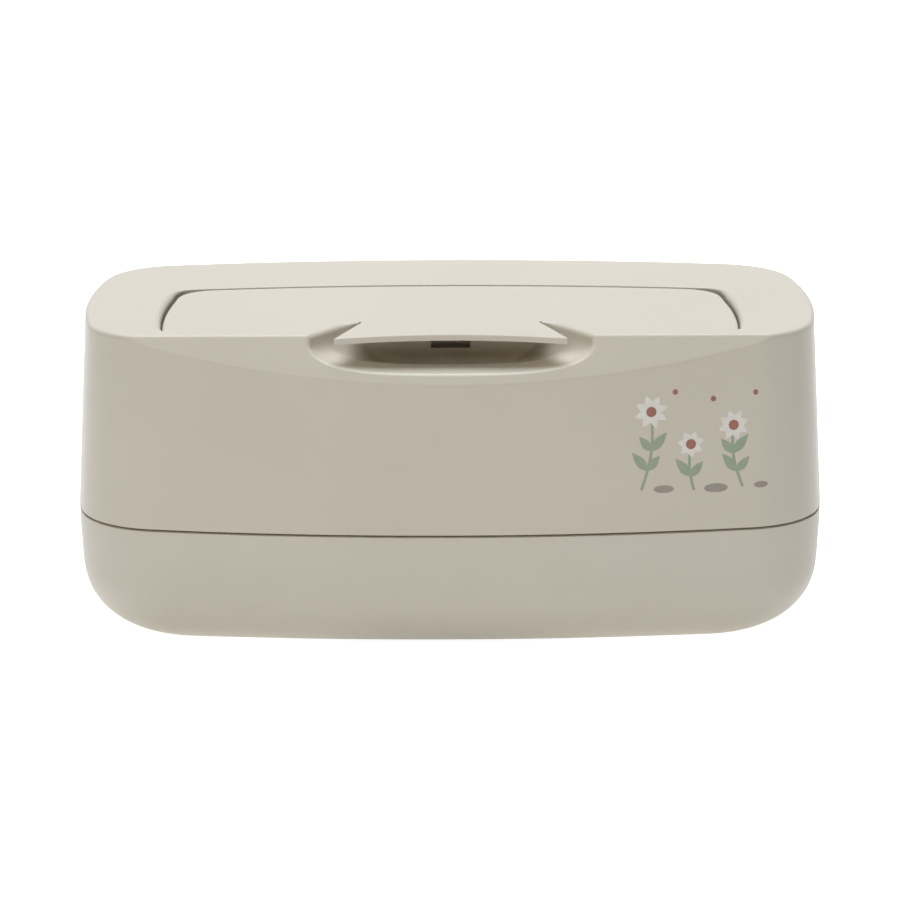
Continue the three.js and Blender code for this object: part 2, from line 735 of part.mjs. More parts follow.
// Plan of the lid, drawn in by an inset. The tab in the middle of its front edge flares like a dovetail.
function lidPlan(inset) {
  const setBack = lipThickness + lidFrontGap + inset;
  const frontY = -facetTopY + setBack;
  const rootHalf = tabRootHalf - inset;
  const tipHalf = tabTipHalf - inset;
  const tipY = inset - facetTopY - tabOverhang;
  const steps = bowSteps / 2;
  const tip = Array.from({ length: steps + 1 }, (_, i) => {
    const share = i / steps;
    return new THREE.Vector2(tipHalf * share, tipY + tabTipHollow * (1 - share ** 2));
  });
  const right = [
    ...tip,
    new THREE.Vector2(rootHalf, tabRootSetBack - scoopBackY),
    new THREE.Vector2(rootHalf, -scoopBackY + setBack),
    ...besideScoop(setBack, frontY),
    ...endAndRear({
      frontX: scoopHalfFront,
      frontY,
      halfLength: lidHalfLength - inset,
      widestY: lidWidestFrom - facetTopY,
      middleY: wellRearY - lidRearGap - inset,
      frontCorner: lidFrontCorner,
      rearCorner: lidRearCorner,
    }),
  ];
  return bothHalves(right, true);
}

// The line that the seal runs along, at a distance outside it: the middle of the collar's wall
function sealLine(out, low, high) {
  return prism(collarPlan(collarWall / 2 - out), low, high);
}

function lid() {
  const plate = bevelledPrism(lidPlan, lidBottom, lidTop, lidEdgeBevel);
  const ribLow = lidBottom - ribHeight;
  const half = lidSealWidth / 2 + lidSealGap;
  const roof = lidBottom + lidThickness / 4;
  const rib = (out) =>
    sealLine(out + ribThickness, ribLow, roof).subtract(sealLine(out, ribLow - overrun, lidTop));
  const hookFront = -scoopBackY + lipThickness + hookGap;
  const barbTop = topHeight - catchWallDrop - catchBarHeight - hookBarbPlay;
  const hookLow = barbTop - hookBarbHeight;
  const tongue = block([-hookHalf, hookFront, hookLow], [hookHalf, hookFront + hookThickness, roof]);
  const barb = sidePrism(
    [
      [hookFront - hookBarb, barbTop],
      [hookFront + hookThickness / 2, hookLow],
      [hookFront + hookThickness / 2, barbTop],
    ],
    -hookHalf,
    hookHalf,
  );

  let made = plate.add(rib(half)).add(rib(-half - ribThickness)).add(tongue).add(barb);
  for (const middle of [-hingeMiddleX, hingeMiddleX]) {
    made = made.add(hingeBar(knuckleRadius, middle - knuckleLength / 2, middle + knuckleLength / 2));
    const boreReach = knuckleLength / 2 + earGap + earThickness + pinOverEar + earRelief;
    made = made.subtract(hingeBar(pinRadius + pinKnuckleClearance, middle - boreReach, middle + boreReach));
  }
  const reliefReach = earThickness / 2 + earRelief;
  const reliefRadius = earRadius + earRelief;
  for (const x of earMiddles) {
    const [from, to] = [x - reliefReach, x + reliefReach];
    const behind = block([from, hingeY, lidBottom - overrun], [to, bodyDepth, hingeZ + reliefRadius]);
    made = made.subtract(hingeBar(reliefRadius, from, to)).subtract(behind);
  }
  return made;
}

function lidSeal() {
  const [low, high] = [collarTop + lidSealGap, lidBottom - lidSealToLid];
  const half = lidSealWidth / 2;
  return sealLine(half, low, high).subtract(sealLine(-half, low - overrun, high + overrun));
}

// Press plate

const plateHalfLength = bodyLength / 2 - plateEndInset;
const plateHalfDepth = bodyDepth / 2 - plateSideInset;
const plateCoverBottom = trayInside + plateFloorGap;
const plateBottom = plateCoverBottom + plateCoverThickness + plateSeam;
const weightMiddleX = (plateMouthHalfLength + plateHalfLength) / 2;
const weightHalfDepth = plateHalfDepth - weightSideInset;

const platePlan = (inset) => roundedRectangle([plateHalfLength, plateHalfDepth, plateCorner], inset);
const plateMouthPlan = (inset) =>
  roundedRectangle([plateMouthHalfLength, plateMouthHalfDepth, plateMouthCorner], inset);
const weightPlan = (side, inset) =>
  roundedRectangle([weightHalfLength, weightHalfDepth, weightCorner], inset, side * weightMiddleX);

function pressPlate() {
  const top = plateBottom + plateTopThickness;
  const slab = bevelledPrism(platePlan, plateBottom, top, plateBevel);
  const rim = prism(plateMouthPlan(-plateMouthRim), plateBottom, top + plateMouthRimHeight);
  const mouth = prism(plateMouthPlan(0), plateBottom - overrun, top + plateMouthRimHeight + overrun);
  const pocketTop = plateBottom + weightThickness + plateSeam;
  const pockets = [-1, 1].map((side) =>
    prism(weightPlan(side, -plateSeam), plateBottom - overrun, pocketTop),
  );
  return pockets.reduce((made, pocket) => made.subtract(pocket), slab.add(rim).subtract(mouth));
}

function pressPlateCover() {
  const outline = (inset) => platePlan(plateBevel + inset);
  const slab = bevelledPrism(outline, plateCoverBottom, plateBottom - plateSeam, plateBevel, false);
  return slab.subtract(prism(plateMouthPlan(0), plateCoverBottom - overrun, plateBottom + overrun));
}

const weightBar = (side) => prism(weightPlan(side, 0), plateBottom, plateBottom + weightThickness);

// The box

const tray = new THREE.Group();
tray.add(piece("base_tray", baseTray(), trayPlastic));
tray.add(piece("split_seal", splitSeal(), sealRubber));
for (const place of footPlaces) tray.add(piece(place.name, foot(place), footRubber));

const cover = new THREE.Group();
cover.add(piece("upper_shell", upperShell(), coverPlastic));
cover.add(piece("hinge_pin_left", hingePin(-1), pinSteel));
cover.add(piece("hinge_pin_right", hingePin(1), pinSteel));

const flap = new THREE.Group();
flap.add(piece("lid", lid(), coverPlastic));
flap.add(piece("lid_seal", lidSeal(), sealRubber));

const plate = new THREE.Group();
plate.add(piece("press_plate", pressPlate(), innerPlastic));
plate.add(piece("press_plate_cover", pressPlateCover(), innerPlastic));
plate.add(piece("weight_left", weightBar(-1), weightSteel));
plate.add(piece("weight_right", weightBar(1), weightSteel));

const wipesBox = new THREE.Group();
wipesBox.add(tray, cover, flap, plate);

export default wipesBox;
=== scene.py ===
# A baby wipes box: a round-bottomed tray, a lift-off cover with a finger scoop, and a flap lid. It is
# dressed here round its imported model. Sizes are in millimetres, and meshes are put in as metres
from math import atan2, pi, radians, sqrt, tan

import bmesh
import bpy
import numpy as np
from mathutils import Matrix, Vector


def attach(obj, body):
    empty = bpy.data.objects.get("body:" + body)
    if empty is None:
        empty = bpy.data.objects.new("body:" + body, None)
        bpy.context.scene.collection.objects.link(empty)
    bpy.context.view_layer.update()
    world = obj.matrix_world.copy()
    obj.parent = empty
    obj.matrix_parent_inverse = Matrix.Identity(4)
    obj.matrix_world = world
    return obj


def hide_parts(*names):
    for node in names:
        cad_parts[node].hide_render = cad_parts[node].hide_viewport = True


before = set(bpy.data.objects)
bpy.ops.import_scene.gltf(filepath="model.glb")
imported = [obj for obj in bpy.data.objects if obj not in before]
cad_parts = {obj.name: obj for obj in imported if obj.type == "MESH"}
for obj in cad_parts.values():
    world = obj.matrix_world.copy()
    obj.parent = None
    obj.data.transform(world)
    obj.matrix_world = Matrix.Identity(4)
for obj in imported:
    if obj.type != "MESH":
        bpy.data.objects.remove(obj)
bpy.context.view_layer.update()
print("frame loaded with", len(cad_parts), "nodes")

millimetre = 0.001
tiny = 1e-6  # points of a line nearer to each other than this, in millimetres, count as one
mergeDistance = 1e-7  # corners of a mesh nearer to each other than this, in metres, are merged

# Overall form. The long sides and the ends are shallow arcs, joined by tangent corner arcs
box = {
    "length": 240,
    "depth": 128,
    "top": 102.6,
    "split": 41.5,
    "frontBow": 570,
    "endBow": 180,
    "corner": 28.5,
    "endPoints": 20,
    "cornerPoints": 24,
    "frontPoints": 110,
}


# Outlines and profiles


# A quarter of the outline is three arcs, each point its arc's centre plus the radius times its normal. The
# normals turn steadily from right to back, and mirror images of the quarter give the other three
def bowedOutline(size):
    longCentre = np.array([0, size["depth"] / 2 - size["frontBow"]])
    endCentre = np.array([size["length"] / 2 - size["endBow"], 0])
    toLong = size["frontBow"] - size["corner"]
    toEnd = size["endBow"] - size["corner"]
    apart = np.hypot(*(endCentre - longCentre))
    way = (endCentre - longCentre) / apart
    along = (toLong**2 - toEnd**2 + apart**2) / (2 * apart)
    across = sqrt(toLong**2 - along**2)
    cornerCentre = longCentre + along * way + across * np.array([way[1], -way[0]])
    endTurn = atan2(*(cornerCentre - endCentre)[::-1])
    longTurn = atan2(*(cornerCentre - longCentre)[::-1])
    counts = [size["endPoints"], size["cornerPoints"], size["frontPoints"] + 1]
    turns = np.concatenate([
        np.linspace(0, endTurn, counts[0], endpoint=False),
        np.linspace(endTurn, longTurn, counts[1], endpoint=False),
        np.linspace(longTurn, pi / 2, counts[2]),
    ])
    centres = np.repeat([endCentre, cornerCentre, longCentre], counts, axis=0)
    radii = np.repeat([size["endBow"], size["corner"], size["frontBow"]], counts)
    normals = np.column_stack([np.cos(turns), np.sin(turns)])
    points = centres + radii[:, None] * normals
    both = np.stack([points, normals])
    half = np.concatenate([both, (both * [-1, 1])[:, ::-1][:, 1:]], axis=1)
    return np.concatenate([half, (half * [1, -1])[:, ::-1][:, 1:-1]], axis=1)


boxOutline, boxNormals = bowedOutline(box)

# The flat of the tray's floor, 30 mm in from the ends and 27 mm from the sides, with straighter sides
floorFlat = {
    **box,
    "length": box["length"] - 60,
    "depth": box["depth"] - 54,
    "frontBow": 950,
    "endBow": 460,
    "corner": 13,
}
flatOutline, _ = bowedOutline(floorFlat)


# A line through corners, each given by its two places and the radius of its arc. The arc touches both sides
# of the corner: its ends lie the radius times the tangent of half the turn from the corner, and its points
# swing round its centre
def roundedLine(marks, closed=False, steps=6):
    marks = np.array(marks, float)
    corners, radii = marks[:, :2], marks[:, 2]
    before = unit(corners - np.roll(corners, 1, axis=0))
    after = unit(np.roll(corners, -1, axis=0) - corners)
    turn = np.arctan2(before[:, 0] * after[:, 1] - before[:, 1] * after[:, 0], (before * after).sum(1))
    if not closed:
        radii[[0, -1]] = 0
    toTangent = radii * np.tan(np.abs(turn) / 2)
    side = np.column_stack([-before[:, 1], before[:, 0]]) * np.sign(turn)[:, None]
    start = corners - toTangent[:, None] * before
    centre = start + radii[:, None] * side
    swing = turn[:, None] * np.linspace(0, 1, steps + 1)
    arm = (start - centre)[:, None]
    x = arm[..., 0] * np.cos(swing) - arm[..., 1] * np.sin(swing)
    y = arm[..., 0] * np.sin(swing) + arm[..., 1] * np.cos(swing)
    points = (centre[:, None] + np.stack([x, y], axis=-1)).reshape(-1, 2)
    points[np.repeat(radii == 0, steps + 1)] = np.repeat(corners[radii == 0], steps + 1, axis=0)
    apart = np.linalg.norm(points - np.roll(points, 1, axis=0), axis=1) > tiny
    apart[0] = apart[0] or not closed
    return points[apart]


def roundedRectangle(halfX, halfY, radius, middleX=0, middleY=0, steps=14):
    signs = ((1, -1), (1, 1), (-1, 1), (-1, -1))
    marks = [(signX * halfX, signY * halfY, radius) for signX, signY in signs]
    return roundedLine(marks, closed=True, steps=steps) + [middleX, middleY]


def arc(radius, turns, middleX=0.0, middleY=0.0):
    return np.column_stack([middleX + radius * np.cos(turns), middleY + radius * np.sin(turns)])


def circle(radius, middleX=0.0, middleY=0.0, steps=48):
    return arc(radius, np.linspace(0, 2 * pi, steps, endpoint=False), middleX, middleY)


def unit(vectors):
    return vectors / np.linalg.norm(vectors, axis=-1, keepdims=True)


# A closed anticlockwise outline's normals: the way from one neighbour to the other, turned a quarter right
def outlineNormals(outline):
    way = unit(np.roll(outline, -1, axis=0) - np.roll(outline, 1, axis=0))
    return np.column_stack([way[:, 1], -way[:, 0]])


# The smaller of two lengths, with the kink between them rounded over a width: where they differ by less
# than it, a quarter of the width times the square of the share that is left of it is taken off
def softMinimum(first, second, width):
    near = np.clip(1 - np.abs(first - second) / width, 0, 1)
    return np.minimum(first, second) - width * near**2 / 4


def smoothStep(value, low, high):
    share = np.clip((value - low) / (high - low), 0, 1)
    return share * share * (3 - 2 * share)


# Meshes


def meshPiece(name, points, faces):
    mesh = bpy.data.meshes.new(name)
    mesh.from_pydata(np.asarray(points) * millimetre, [], faces)
    made = bpy.data.objects.new(name, mesh)
    bpy.context.scene.collection.objects.link(made)
    return made


# Quads between neighbouring rings of a grid of rings by points
def ringQuads(rings, count, closed=False):
    index = np.arange(rings * count).reshape(rings, count)
    upper = np.roll(index, -1, axis=0) if closed else index[1:]
    lower = index if closed else index[:-1]
    quads = [lower, np.roll(lower, -1, axis=1), np.roll(upper, -1, axis=1), upper]
    return np.stack(quads, axis=-1).reshape(-1, 4).tolist()


# The faces of a closed solid: rings, each joined to the next, with the first and the last filled in
def stackFaces(rings):
    count, size = rings.shape[:2]
    first = list(range(size))[::-1]
    last = list(range((count - 1) * size, count * size))
    return ringQuads(count, size) + [first, last]


# Rings stacked along the height, or along the length from left to right
def stackPiece(name, rings, axis="z"):
    if axis == "x":
        rings = rings[..., [2, 0, 1]]
    return meshPiece(name, rings.reshape(-1, 3), stackFaces(rings))


# Rings of plan points, each ring at its own height
def atHeights(plan, heights):
    return np.concatenate([plan, np.broadcast_to(heights[..., None, None], (*plan.shape[:2], 1))], axis=2)


# A closed profile of distances from an outline and heights, carried round the outline: each point is the
# outline's plus the distance times its normal
def loopPiece(name, outline, normals, profile):
    rings = atHeights(outline + profile[:, 0, None, None] * normals, profile[:, 1])
    return meshPiece(name, rings.reshape(-1, 3), ringQuads(*rings.shape[:2], closed=True))


# A turned piece: a profile of radii and heights swung round its axis
def turnedPiece(name, profile, middle, steps, axis="z"):
    rings = atHeights(profile[:, 0, None, None] * circle(1, steps=steps) + middle, profile[:, 1])
    return stackPiece(name, rings, axis)


# A plan outline raised to a solid with rounded edges: near an edge each ring is drawn in by the radius
# times one minus the cosine of its turn. A radius can differ from point to point, and a negative one flares
# the edge out
def padRings(outline, low, high, lowRound=0.0, highRound=0.0, steps=5, fullTurn=pi / 2):
    normals = outlineNormals(outline)
    turns = np.linspace(0, fullTurn, steps + 1)
    rings = []
    for level, radius, facing in ((low, lowRound, -1), (high, highRound, 1)):
        radius = np.broadcast_to(np.asarray(radius, float), len(outline))
        swing = turns if np.any(radius) else turns[:1]
        inset = radius * (1 - np.cos(swing))[:, None]
        height = level - facing * np.abs(radius) * (1 - np.sin(swing))[:, None]
        edge = np.concatenate([outline - inset[..., None] * normals, height[..., None]], axis=2)
        rings.append(edge[::facing])
    return np.concatenate(rings)


def padPiece(name, outline, low, high, lowRound=0.0, highRound=0.0, steps=5, axis="z"):
    return stackPiece(name, padRings(outline, low, high, lowRound, highRound, steps), axis)


# A piece along the length, centred on a place, with both its ends' edges rounded
def barPiece(name, outline, middle, half, edge=0.0):
    return padPiece(name, outline, middle - half, middle + half, edge, edge, 3, axis="x")


def withModifiersApplied(piece):
    evaluated = piece.evaluated_get(bpy.context.evaluated_depsgraph_get())
    mesh = bpy.data.meshes.new_from_object(evaluated)
    piece.modifiers.clear()
    piece.data = mesh
    return piece


# Joins, cuts or keeps what is common to closed solids, and deletes the tools
def combine(piece, operation, *tools):
    for tool in tools:
        modifier = piece.modifiers.new("solid", "BOOLEAN")
        modifier.operation = operation
        modifier.solver = "MANIFOLD"
        modifier.object = tool
    withModifiersApplied(piece)
    for tool in tools:
        bpy.data.objects.remove(tool)
    return piece


def faceOutwards(piece):
    edit = bmesh.new()
    edit.from_mesh(piece.data)
    bmesh.ops.remove_doubles(edit, verts=edit.verts, dist=mergeDistance)
    bmesh.ops.recalc_face_normals(edit, faces=edit.faces)
    edit.to_mesh(piece.data)
    edit.free()
    return piece


# Materials


# A colour written as on the web, turned to the linear values that Blender computes with
def linearColour(webColour):
    shares = np.array([int(webColour[i : i + 2], 16) for i in (1, 3, 5)]) / 255
    linear = np.where(shares <= 0.04045, shares / 12.92, ((shares + 0.055) / 1.055) ** 2.4)
    return (*linear, 1.0)


# Adds a node with its settings, the values of its inputs, and its links
def addNode(tree, kind, values=(), links=(), **settings):
    node = tree.nodes.new(kind)
    for name, value in settings.items():
        setattr(node, name, value)
    for name, value in dict(values).items():
        node.inputs[name].default_value = value
    for name, source in dict(links).items():
        tree.links.new(source, node.inputs[name])
    return node


def emptyMaterial(name):
    material = bpy.data.materials.new(name)
    material.use_nodes = True
    material.node_tree.nodes.clear()
    return material, material.node_tree


# What every material of the box ends in: a colour that goes from shade to tone over a span of one pattern,
# and a gloss that varies evenly about its middle with another
def addSurface(tree, look, toneSpan, toneFrom, glossFrom, texture, values):
    tone = addNode(tree, "ShaderNodeValToRGB", {}, {"Fac": toneFrom})
    for element, place, colour in zip(tone.color_ramp.elements, toneSpan, (look["shade"], look["tone"])):
        element.position = place
        element.color = linearColour(colour)
    middle, spread = look["roughness"], look["unevenness"]
    gloss = addNode(tree, "ShaderNodeMapRange", {"To Min": middle - spread, "To Max": middle + spread},
                    {"Value": glossFrom})
    shader = addNode(tree, "ShaderNodeBsdfPrincipled", values, {
        "Base Color": tone.outputs["Color"],
        "Roughness": gloss.outputs["Result"],
        "Normal": texture.outputs["Normal"],
    })
    addNode(tree, "ShaderNodeOutputMaterial", {}, {"Surface": shader.outputs["BSDF"]})


# What all moulded materials share
moulding = {
    "toneSpan": (0.3, 0.7),
    "waveHeight": 0.05,
}


# A moulded material: a slow drift of tone where the melt has flowed, a fine grain that breaks up the gloss,
# and a faint waviness in broad highlights
def mouldedMaterial(name, look):
    material, tree = emptyMaterial(name)
    place = addNode(tree, "ShaderNodeTexCoord").outputs["Object"]
    flow, grain, swell = [
        addNode(tree, "ShaderNodeTexNoise", {"Scale": 1 / (size * millimetre), "Detail": detail},
                {"Vector": place}).outputs["Fac"]
        for size, detail in ((look["flow"], 3), (look["grain"], 2), (look["flow"] / 2, 1))
    ]
    wave = addNode(tree, "ShaderNodeBump",
                   {"Strength": look["wave"], "Distance": moulding["waveHeight"] * millimetre},
                   {"Height": swell})
    texture = addNode(tree, "ShaderNodeBump",
                      {"Strength": look["texture"], "Distance": look["grainHeight"] * millimetre},
                      {"Height": grain, "Normal": wave.outputs["Normal"]})
    addSurface(tree, look, moulding["toneSpan"], flow, grain, texture, {"IOR": look["ior"]})
    return material


# Polypropylene from a spark-eroded mould: satin, pale stone-coloured, evenly dyed. The eye sees a soft
# broad sheen with a fine grain in it, and crisp edges
polypropylene = {
    "tone": "#DAD2C2",
    "shade": "#D6CEBD",
    "flow": 60,
    "grain": 0.7,  # the real grain is about 0.1 mm, drawn coarser so that it shows
    "grainHeight": 0.012,
    "roughness": 0.42,
    "unevenness": 0.05,
    "wave": 0.25,
    "texture": 0.35,
    "ior": 1.49,
}
satinPolypropylene = mouldedMaterial("satinPolypropylene", polypropylene)

# The tray is from the same granulate out of a coarser mould: a shade duller and more grained
trayPolypropylene = mouldedMaterial("grainedPolypropylene", {
    **polypropylene,
    "tone": "#D9D2C3",
    "shade": "#D5CEBE",
    "grain": 0.9,
    "roughness": 0.46,
})

# The inner plate shows only when the lid is up: matt, a little paler, with clear flow marks
plainPolypropylene = mouldedMaterial("mattPolypropylene", {
    **polypropylene,
    "tone": "#E2DED4",
    "shade": "#DAD5C9",
    "flow": 25,
    "grain": 1.1,
    "roughness": 0.55,
    "texture": 0.5,
})

# Compression-moulded silicone: matt and even, with a dusty bloom in its tone and a soft skin
silicone = mouldedMaterial("mattSilicone", {
    "tone": "#C6C1B6",
    "shade": "#B7B2A7",
    "flow": 9,
    "grain": 0.5,
    "grainHeight": 0.01,
    "roughness": 0.62,
    "unevenness": 0.06,
    "wave": 0.4,
    "texture": 0.3,
    "ior": 1.41,
})

# Thermoplastic rubber of the feet: dull, darker, pitted where it has stood on tables
footRubber = mouldedMaterial("dullRubber", {
    "tone": "#8F897D",
    "shade": "#7C766B",
    "flow": 4,
    "grain": 0.6,
    "grainHeight": 0.04,
    "roughness": 0.82,
    "unevenness": 0.08,
    "wave": 0.5,
    "texture": 0.7,
    "ior": 1.5,
})


# What both metals share
metal = {
    "toneSpan": (0.25, 0.75),
    "markStrength": 0.4,
}


# Metal with marks of one size along an axis and another across it: drawn as a noise stretched by a mapping,
# which streaks the tone, the gloss and the surface alike. A share of the tone and the gloss comes from the
# plating's crystals
def markedMetal(name, look):
    material, tree = emptyMaterial(name)
    place = addNode(tree, "ShaderNodeTexCoord").outputs["Object"]
    scales = [1 / (length * millimetre) for length in look["marks"]]
    drawn = addNode(tree, "ShaderNodeMapping", {"Scale": scales}, {"Vector": place}).outputs["Vector"]
    marks = addNode(tree, "ShaderNodeTexNoise", {"Scale": 1, "Detail": 3}, {"Vector": drawn}).outputs["Fac"]
    cells = addNode(tree, "ShaderNodeTexVoronoi", {"Scale": 1 / (look["spangle"] * millimetre)},
                    {"Vector": place}).outputs["Color"]
    mixed = addNode(tree, "ShaderNodeMix", {"Factor": look["spangleShare"]},
                    {"A": marks, "B": cells}).outputs["Result"]
    texture = addNode(tree, "ShaderNodeBump",
                      {"Strength": metal["markStrength"], "Distance": look["markDepth"] * millimetre},
                      {"Height": marks})
    addSurface(tree, look, metal["toneSpan"], mixed, mixed, texture, {"Metallic": 1.0})
    return material


# Centreless-ground steel wire: bright, with fine rings round the pin
groundSteel = markedMetal("groundSteel", {
    "tone": "#C9CACC",
    "shade": "#A7A9AC",
    "marks": (0.15, 6, 6),
    "markDepth": 0.006,
    "spangle": 3,
    "spangleShare": 0.0,
    "roughness": 0.26,
    "unevenness": 0.08,
})

# Zinc-plated sheet steel: bluish grey, cloudy, with flat crystals a few millimetres wide
zincPlatedSteel = markedMetal("zincPlatedSteel", {
    "tone": "#B4B8BD",
    "shade": "#8F9398",
    "marks": (2.5, 0.5, 2.5),
    "markDepth": 0.01,
    "spangle": 4,
    "spangleShare": 0.6,
    "roughness": 0.4,
    "unevenness": 0.1,
})


# Finishing


def finishPiece(piece, body, material, nodes=(), crease=32):
    mesh = piece.data
    mesh.materials.clear()
    mesh.materials.append(material)
    mesh.shade_smooth()
    mesh.set_sharp_from_angle(angle=radians(crease))
    shading = piece.modifiers.new("shading", "WEIGHTED_NORMAL")
    shading.keep_sharp = True
    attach(piece, body)
    if nodes:
        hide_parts(*nodes)
    print("made", piece.name, "with", len(mesh.polygons), "faces")
    return piece


# Tray

tray = {
    "standOff": 1.0,
    "wall": 2.2,
    "floor": 2.2,
    "lean": 0.5,
    "roundUp": 24,
    "rimThickening": 8,
    "rimBlend": 2.5,
    "spigotOut": 2.55,
    "spigotIn": 4.35,
    "spigotHeight": 6.8,
    "grooveRise": 1.6,
    "grooveHeight": 1.6,
    "grooveDepth": 0.9,
    "beadRise": 4.9,
    "beadHeight": 1.0,
    "beadReach": 0.65,
    "beadHalf": 15,
    "beadFade": 1.5,
    "beadSlope": 0.3,
    "edge": 0.25,
    "spigotFillet": 0.3,
    "grooveLip": 0.2,
    "grooveFillet": 0.1,
    "spigotEdge": 0.5,
    "rimRound": 2,
    "rimStart": 6,
    "rimEnd": 4,
    "roundSteps": 30,
}


# How far the cover's walls have leant in at a height. The tray's spigot follows them
def drawIn(height):
    return cover["topInset"] * (height - box["split"]) / (box["top"] - box["split"])


# The bottom corner is a quarter ellipse between the wall and the flat of the floor: in plan it goes one
# minus the cosine of its turn of the way to the flat's outline
def bottomRound(size, wall, floor):
    turn = np.linspace(pi / 2, 0, size["roundSteps"] + 1)
    start = boxOutline - (size["lean"] + wall) * boxNormals
    plan = start + (flatOutline - start) * (1 - np.cos(turn))[:, None, None]
    return atHeights(plan, size["standOff"] + floor + (size["roundUp"] - floor) * (1 - np.sin(turn)))


# Where a snap bead stands on the two ends of the box: one in its middle, falling to nought at its ends
def beadShare(half):
    onEnds = np.abs(boxOutline[:, 0]) > box["length"] / 4
    return onEnds * (1 - smoothStep(np.abs(boxOutline[:, 1]), half - tray["beadFade"], half))


# The tray is one profile of insets and heights carried round the box's outline, each point the outline's
# less the inset times its normal: from the floor's outside up to the rim and down to the floor's inside
def makeTray(size):
    split, top = box["split"], box["split"] + size["spigotHeight"]
    out, inside = size["spigotOut"], size["spigotIn"]
    groove = split + size["grooveRise"]
    grooveTop = groove + size["grooveHeight"]
    bead, half = split + size["beadRise"], size["beadHeight"] / 2
    beadOut, rimFoot = out + drawIn(bead), split - size["rimThickening"]
    profile = roundedLine([
        (0, split - size["rimStart"], 0),
        (0, split, size["edge"]),
        (out, split, size["spigotFillet"]),
        (out + drawIn(groove), groove, size["grooveLip"]),
        (out + size["grooveDepth"], groove, size["grooveFillet"]),
        (out + size["grooveDepth"], grooveTop, size["grooveFillet"]),
        (out + drawIn(grooveTop), grooveTop, size["grooveLip"]),
        (beadOut, bead - half - size["beadSlope"], 0),
        (beadOut, bead - half / 2, 0),
        (beadOut, bead + half / 2, 0),
        (beadOut, bead + half + size["beadSlope"], 0),
        (out + drawIn(top), top, size["spigotEdge"]),
        (inside + drawIn(top), top, size["spigotEdge"]),
        (inside, rimFoot + size["rimBlend"], size["rimRound"]),
        (size["wall"], rimFoot, size["rimRound"]),
        (size["wall"], rimFoot - size["rimEnd"], 0),
    ], steps=4)
    inset = np.repeat(profile[:, :1], len(boxOutline), axis=1)
    standing = np.abs(profile[:, 1] - bead) < half
    inset -= size["beadReach"] * standing[:, None] * beadShare(size["beadHalf"])
    rim = atHeights(boxOutline - inset[..., None] * boxNormals, profile[:, 1])
    outerRound = bottomRound(size, 0, 0)
    innerRound = bottomRound(size, size["wall"], size["floor"])
    shell = stackPiece("trayShell", np.concatenate([outerRound, rim, innerRound[::-1]]))
    pockets = [
        padPiece("pocket", circle(foot["pocketRadius"], x, y, 64), foot["pocketBottom"], foot["pocketTop"])
        for _, x, y in footPlaces
    ]
    return combine(shell, "DIFFERENCE", *pockets)


# Cover

cover = {
    "bottom": 42.2,
    "wall": 2.2,
    "ceiling": 2.2,
    "topInset": 3.6,
    "edge": 1.4,
    "rimEdge": 0.2,
    "facetSetBack": 13.6,
    "facetTilt": radians(39),
    "crease": 0.25,
    "beadGroove": 0.45,
    "beadHalf": 15.3,
    "beadSlope": 0.3,
    "ceilingRound": 1.5,
    "fineFrom": 85,  # above this height the rings lie close, for the facet and the scoop
    "fineRow": 0.25,
    "wallRows": 8,
    "rowGap": 2,
    "lastRow": 0.2,
    "insideRow": 1.5,
    "insideRows": 6,
    "edgeSteps": 6,
    "insideSteps": 4,
}
facetTop = box["depth"] / 2 - cover["facetSetBack"]


# How far forward the facet lies at a height: a plane tilted back, and above it a round edge that ends level
# with the top
def facetForward(height, setBack=0.0):
    tilt, edge = cover["facetTilt"], cover["edge"]
    plane = facetTop + (box["top"] - height) * tan(tilt)
    middle = facetTop - edge * (1 - np.sin(tilt)) / np.cos(tilt)
    rise = np.clip((height - box["top"] + edge) / edge, 0, 1)
    rounded = middle + edge * np.sqrt(1 - rise**2)
    return np.where(rise > np.sin(tilt), rounded, plane) - setBack


# Rings of the cover: the box's outline drawn in along its normals, with the front cut back softly to the
# facet
def coverRings(insets, heights, setBack=0.0):
    flat = boxOutline - insets[..., None] * boxNormals
    facet = facetForward(heights, setBack)[:, None]
    forward = softMinimum(-flat[..., 1], facet, cover["crease"])
    height = np.broadcast_to(heights[:, None], forward.shape)
    return np.stack([flat[..., 0], -forward, height], axis=2)


# From the rounded rim at the split up to the rounded edge of the top
def coverOutside(size):
    turns = np.linspace(0, pi / 2, size["edgeSteps"] + 1)
    fineFrom, edgeStart = size["fineFrom"], box["top"] - size["edge"]
    heights = np.concatenate([
        size["bottom"] + size["rimEdge"] * (1 - np.cos(turns)),
        np.linspace(size["bottom"] + size["rowGap"], fineFrom - 1, size["wallRows"]),
        np.arange(fineFrom, edgeStart - size["lastRow"], size["fineRow"]),
        edgeStart + size["edge"] * np.sin(turns),
    ])
    insets = drawIn(heights)
    insets[: len(turns)] += size["rimEdge"] * (1 - np.sin(turns))
    insets[-len(turns) :] += size["edge"] * (1 - np.cos(turns))
    return coverRings(np.repeat(insets[:, None], len(boxOutline), axis=1), heights)


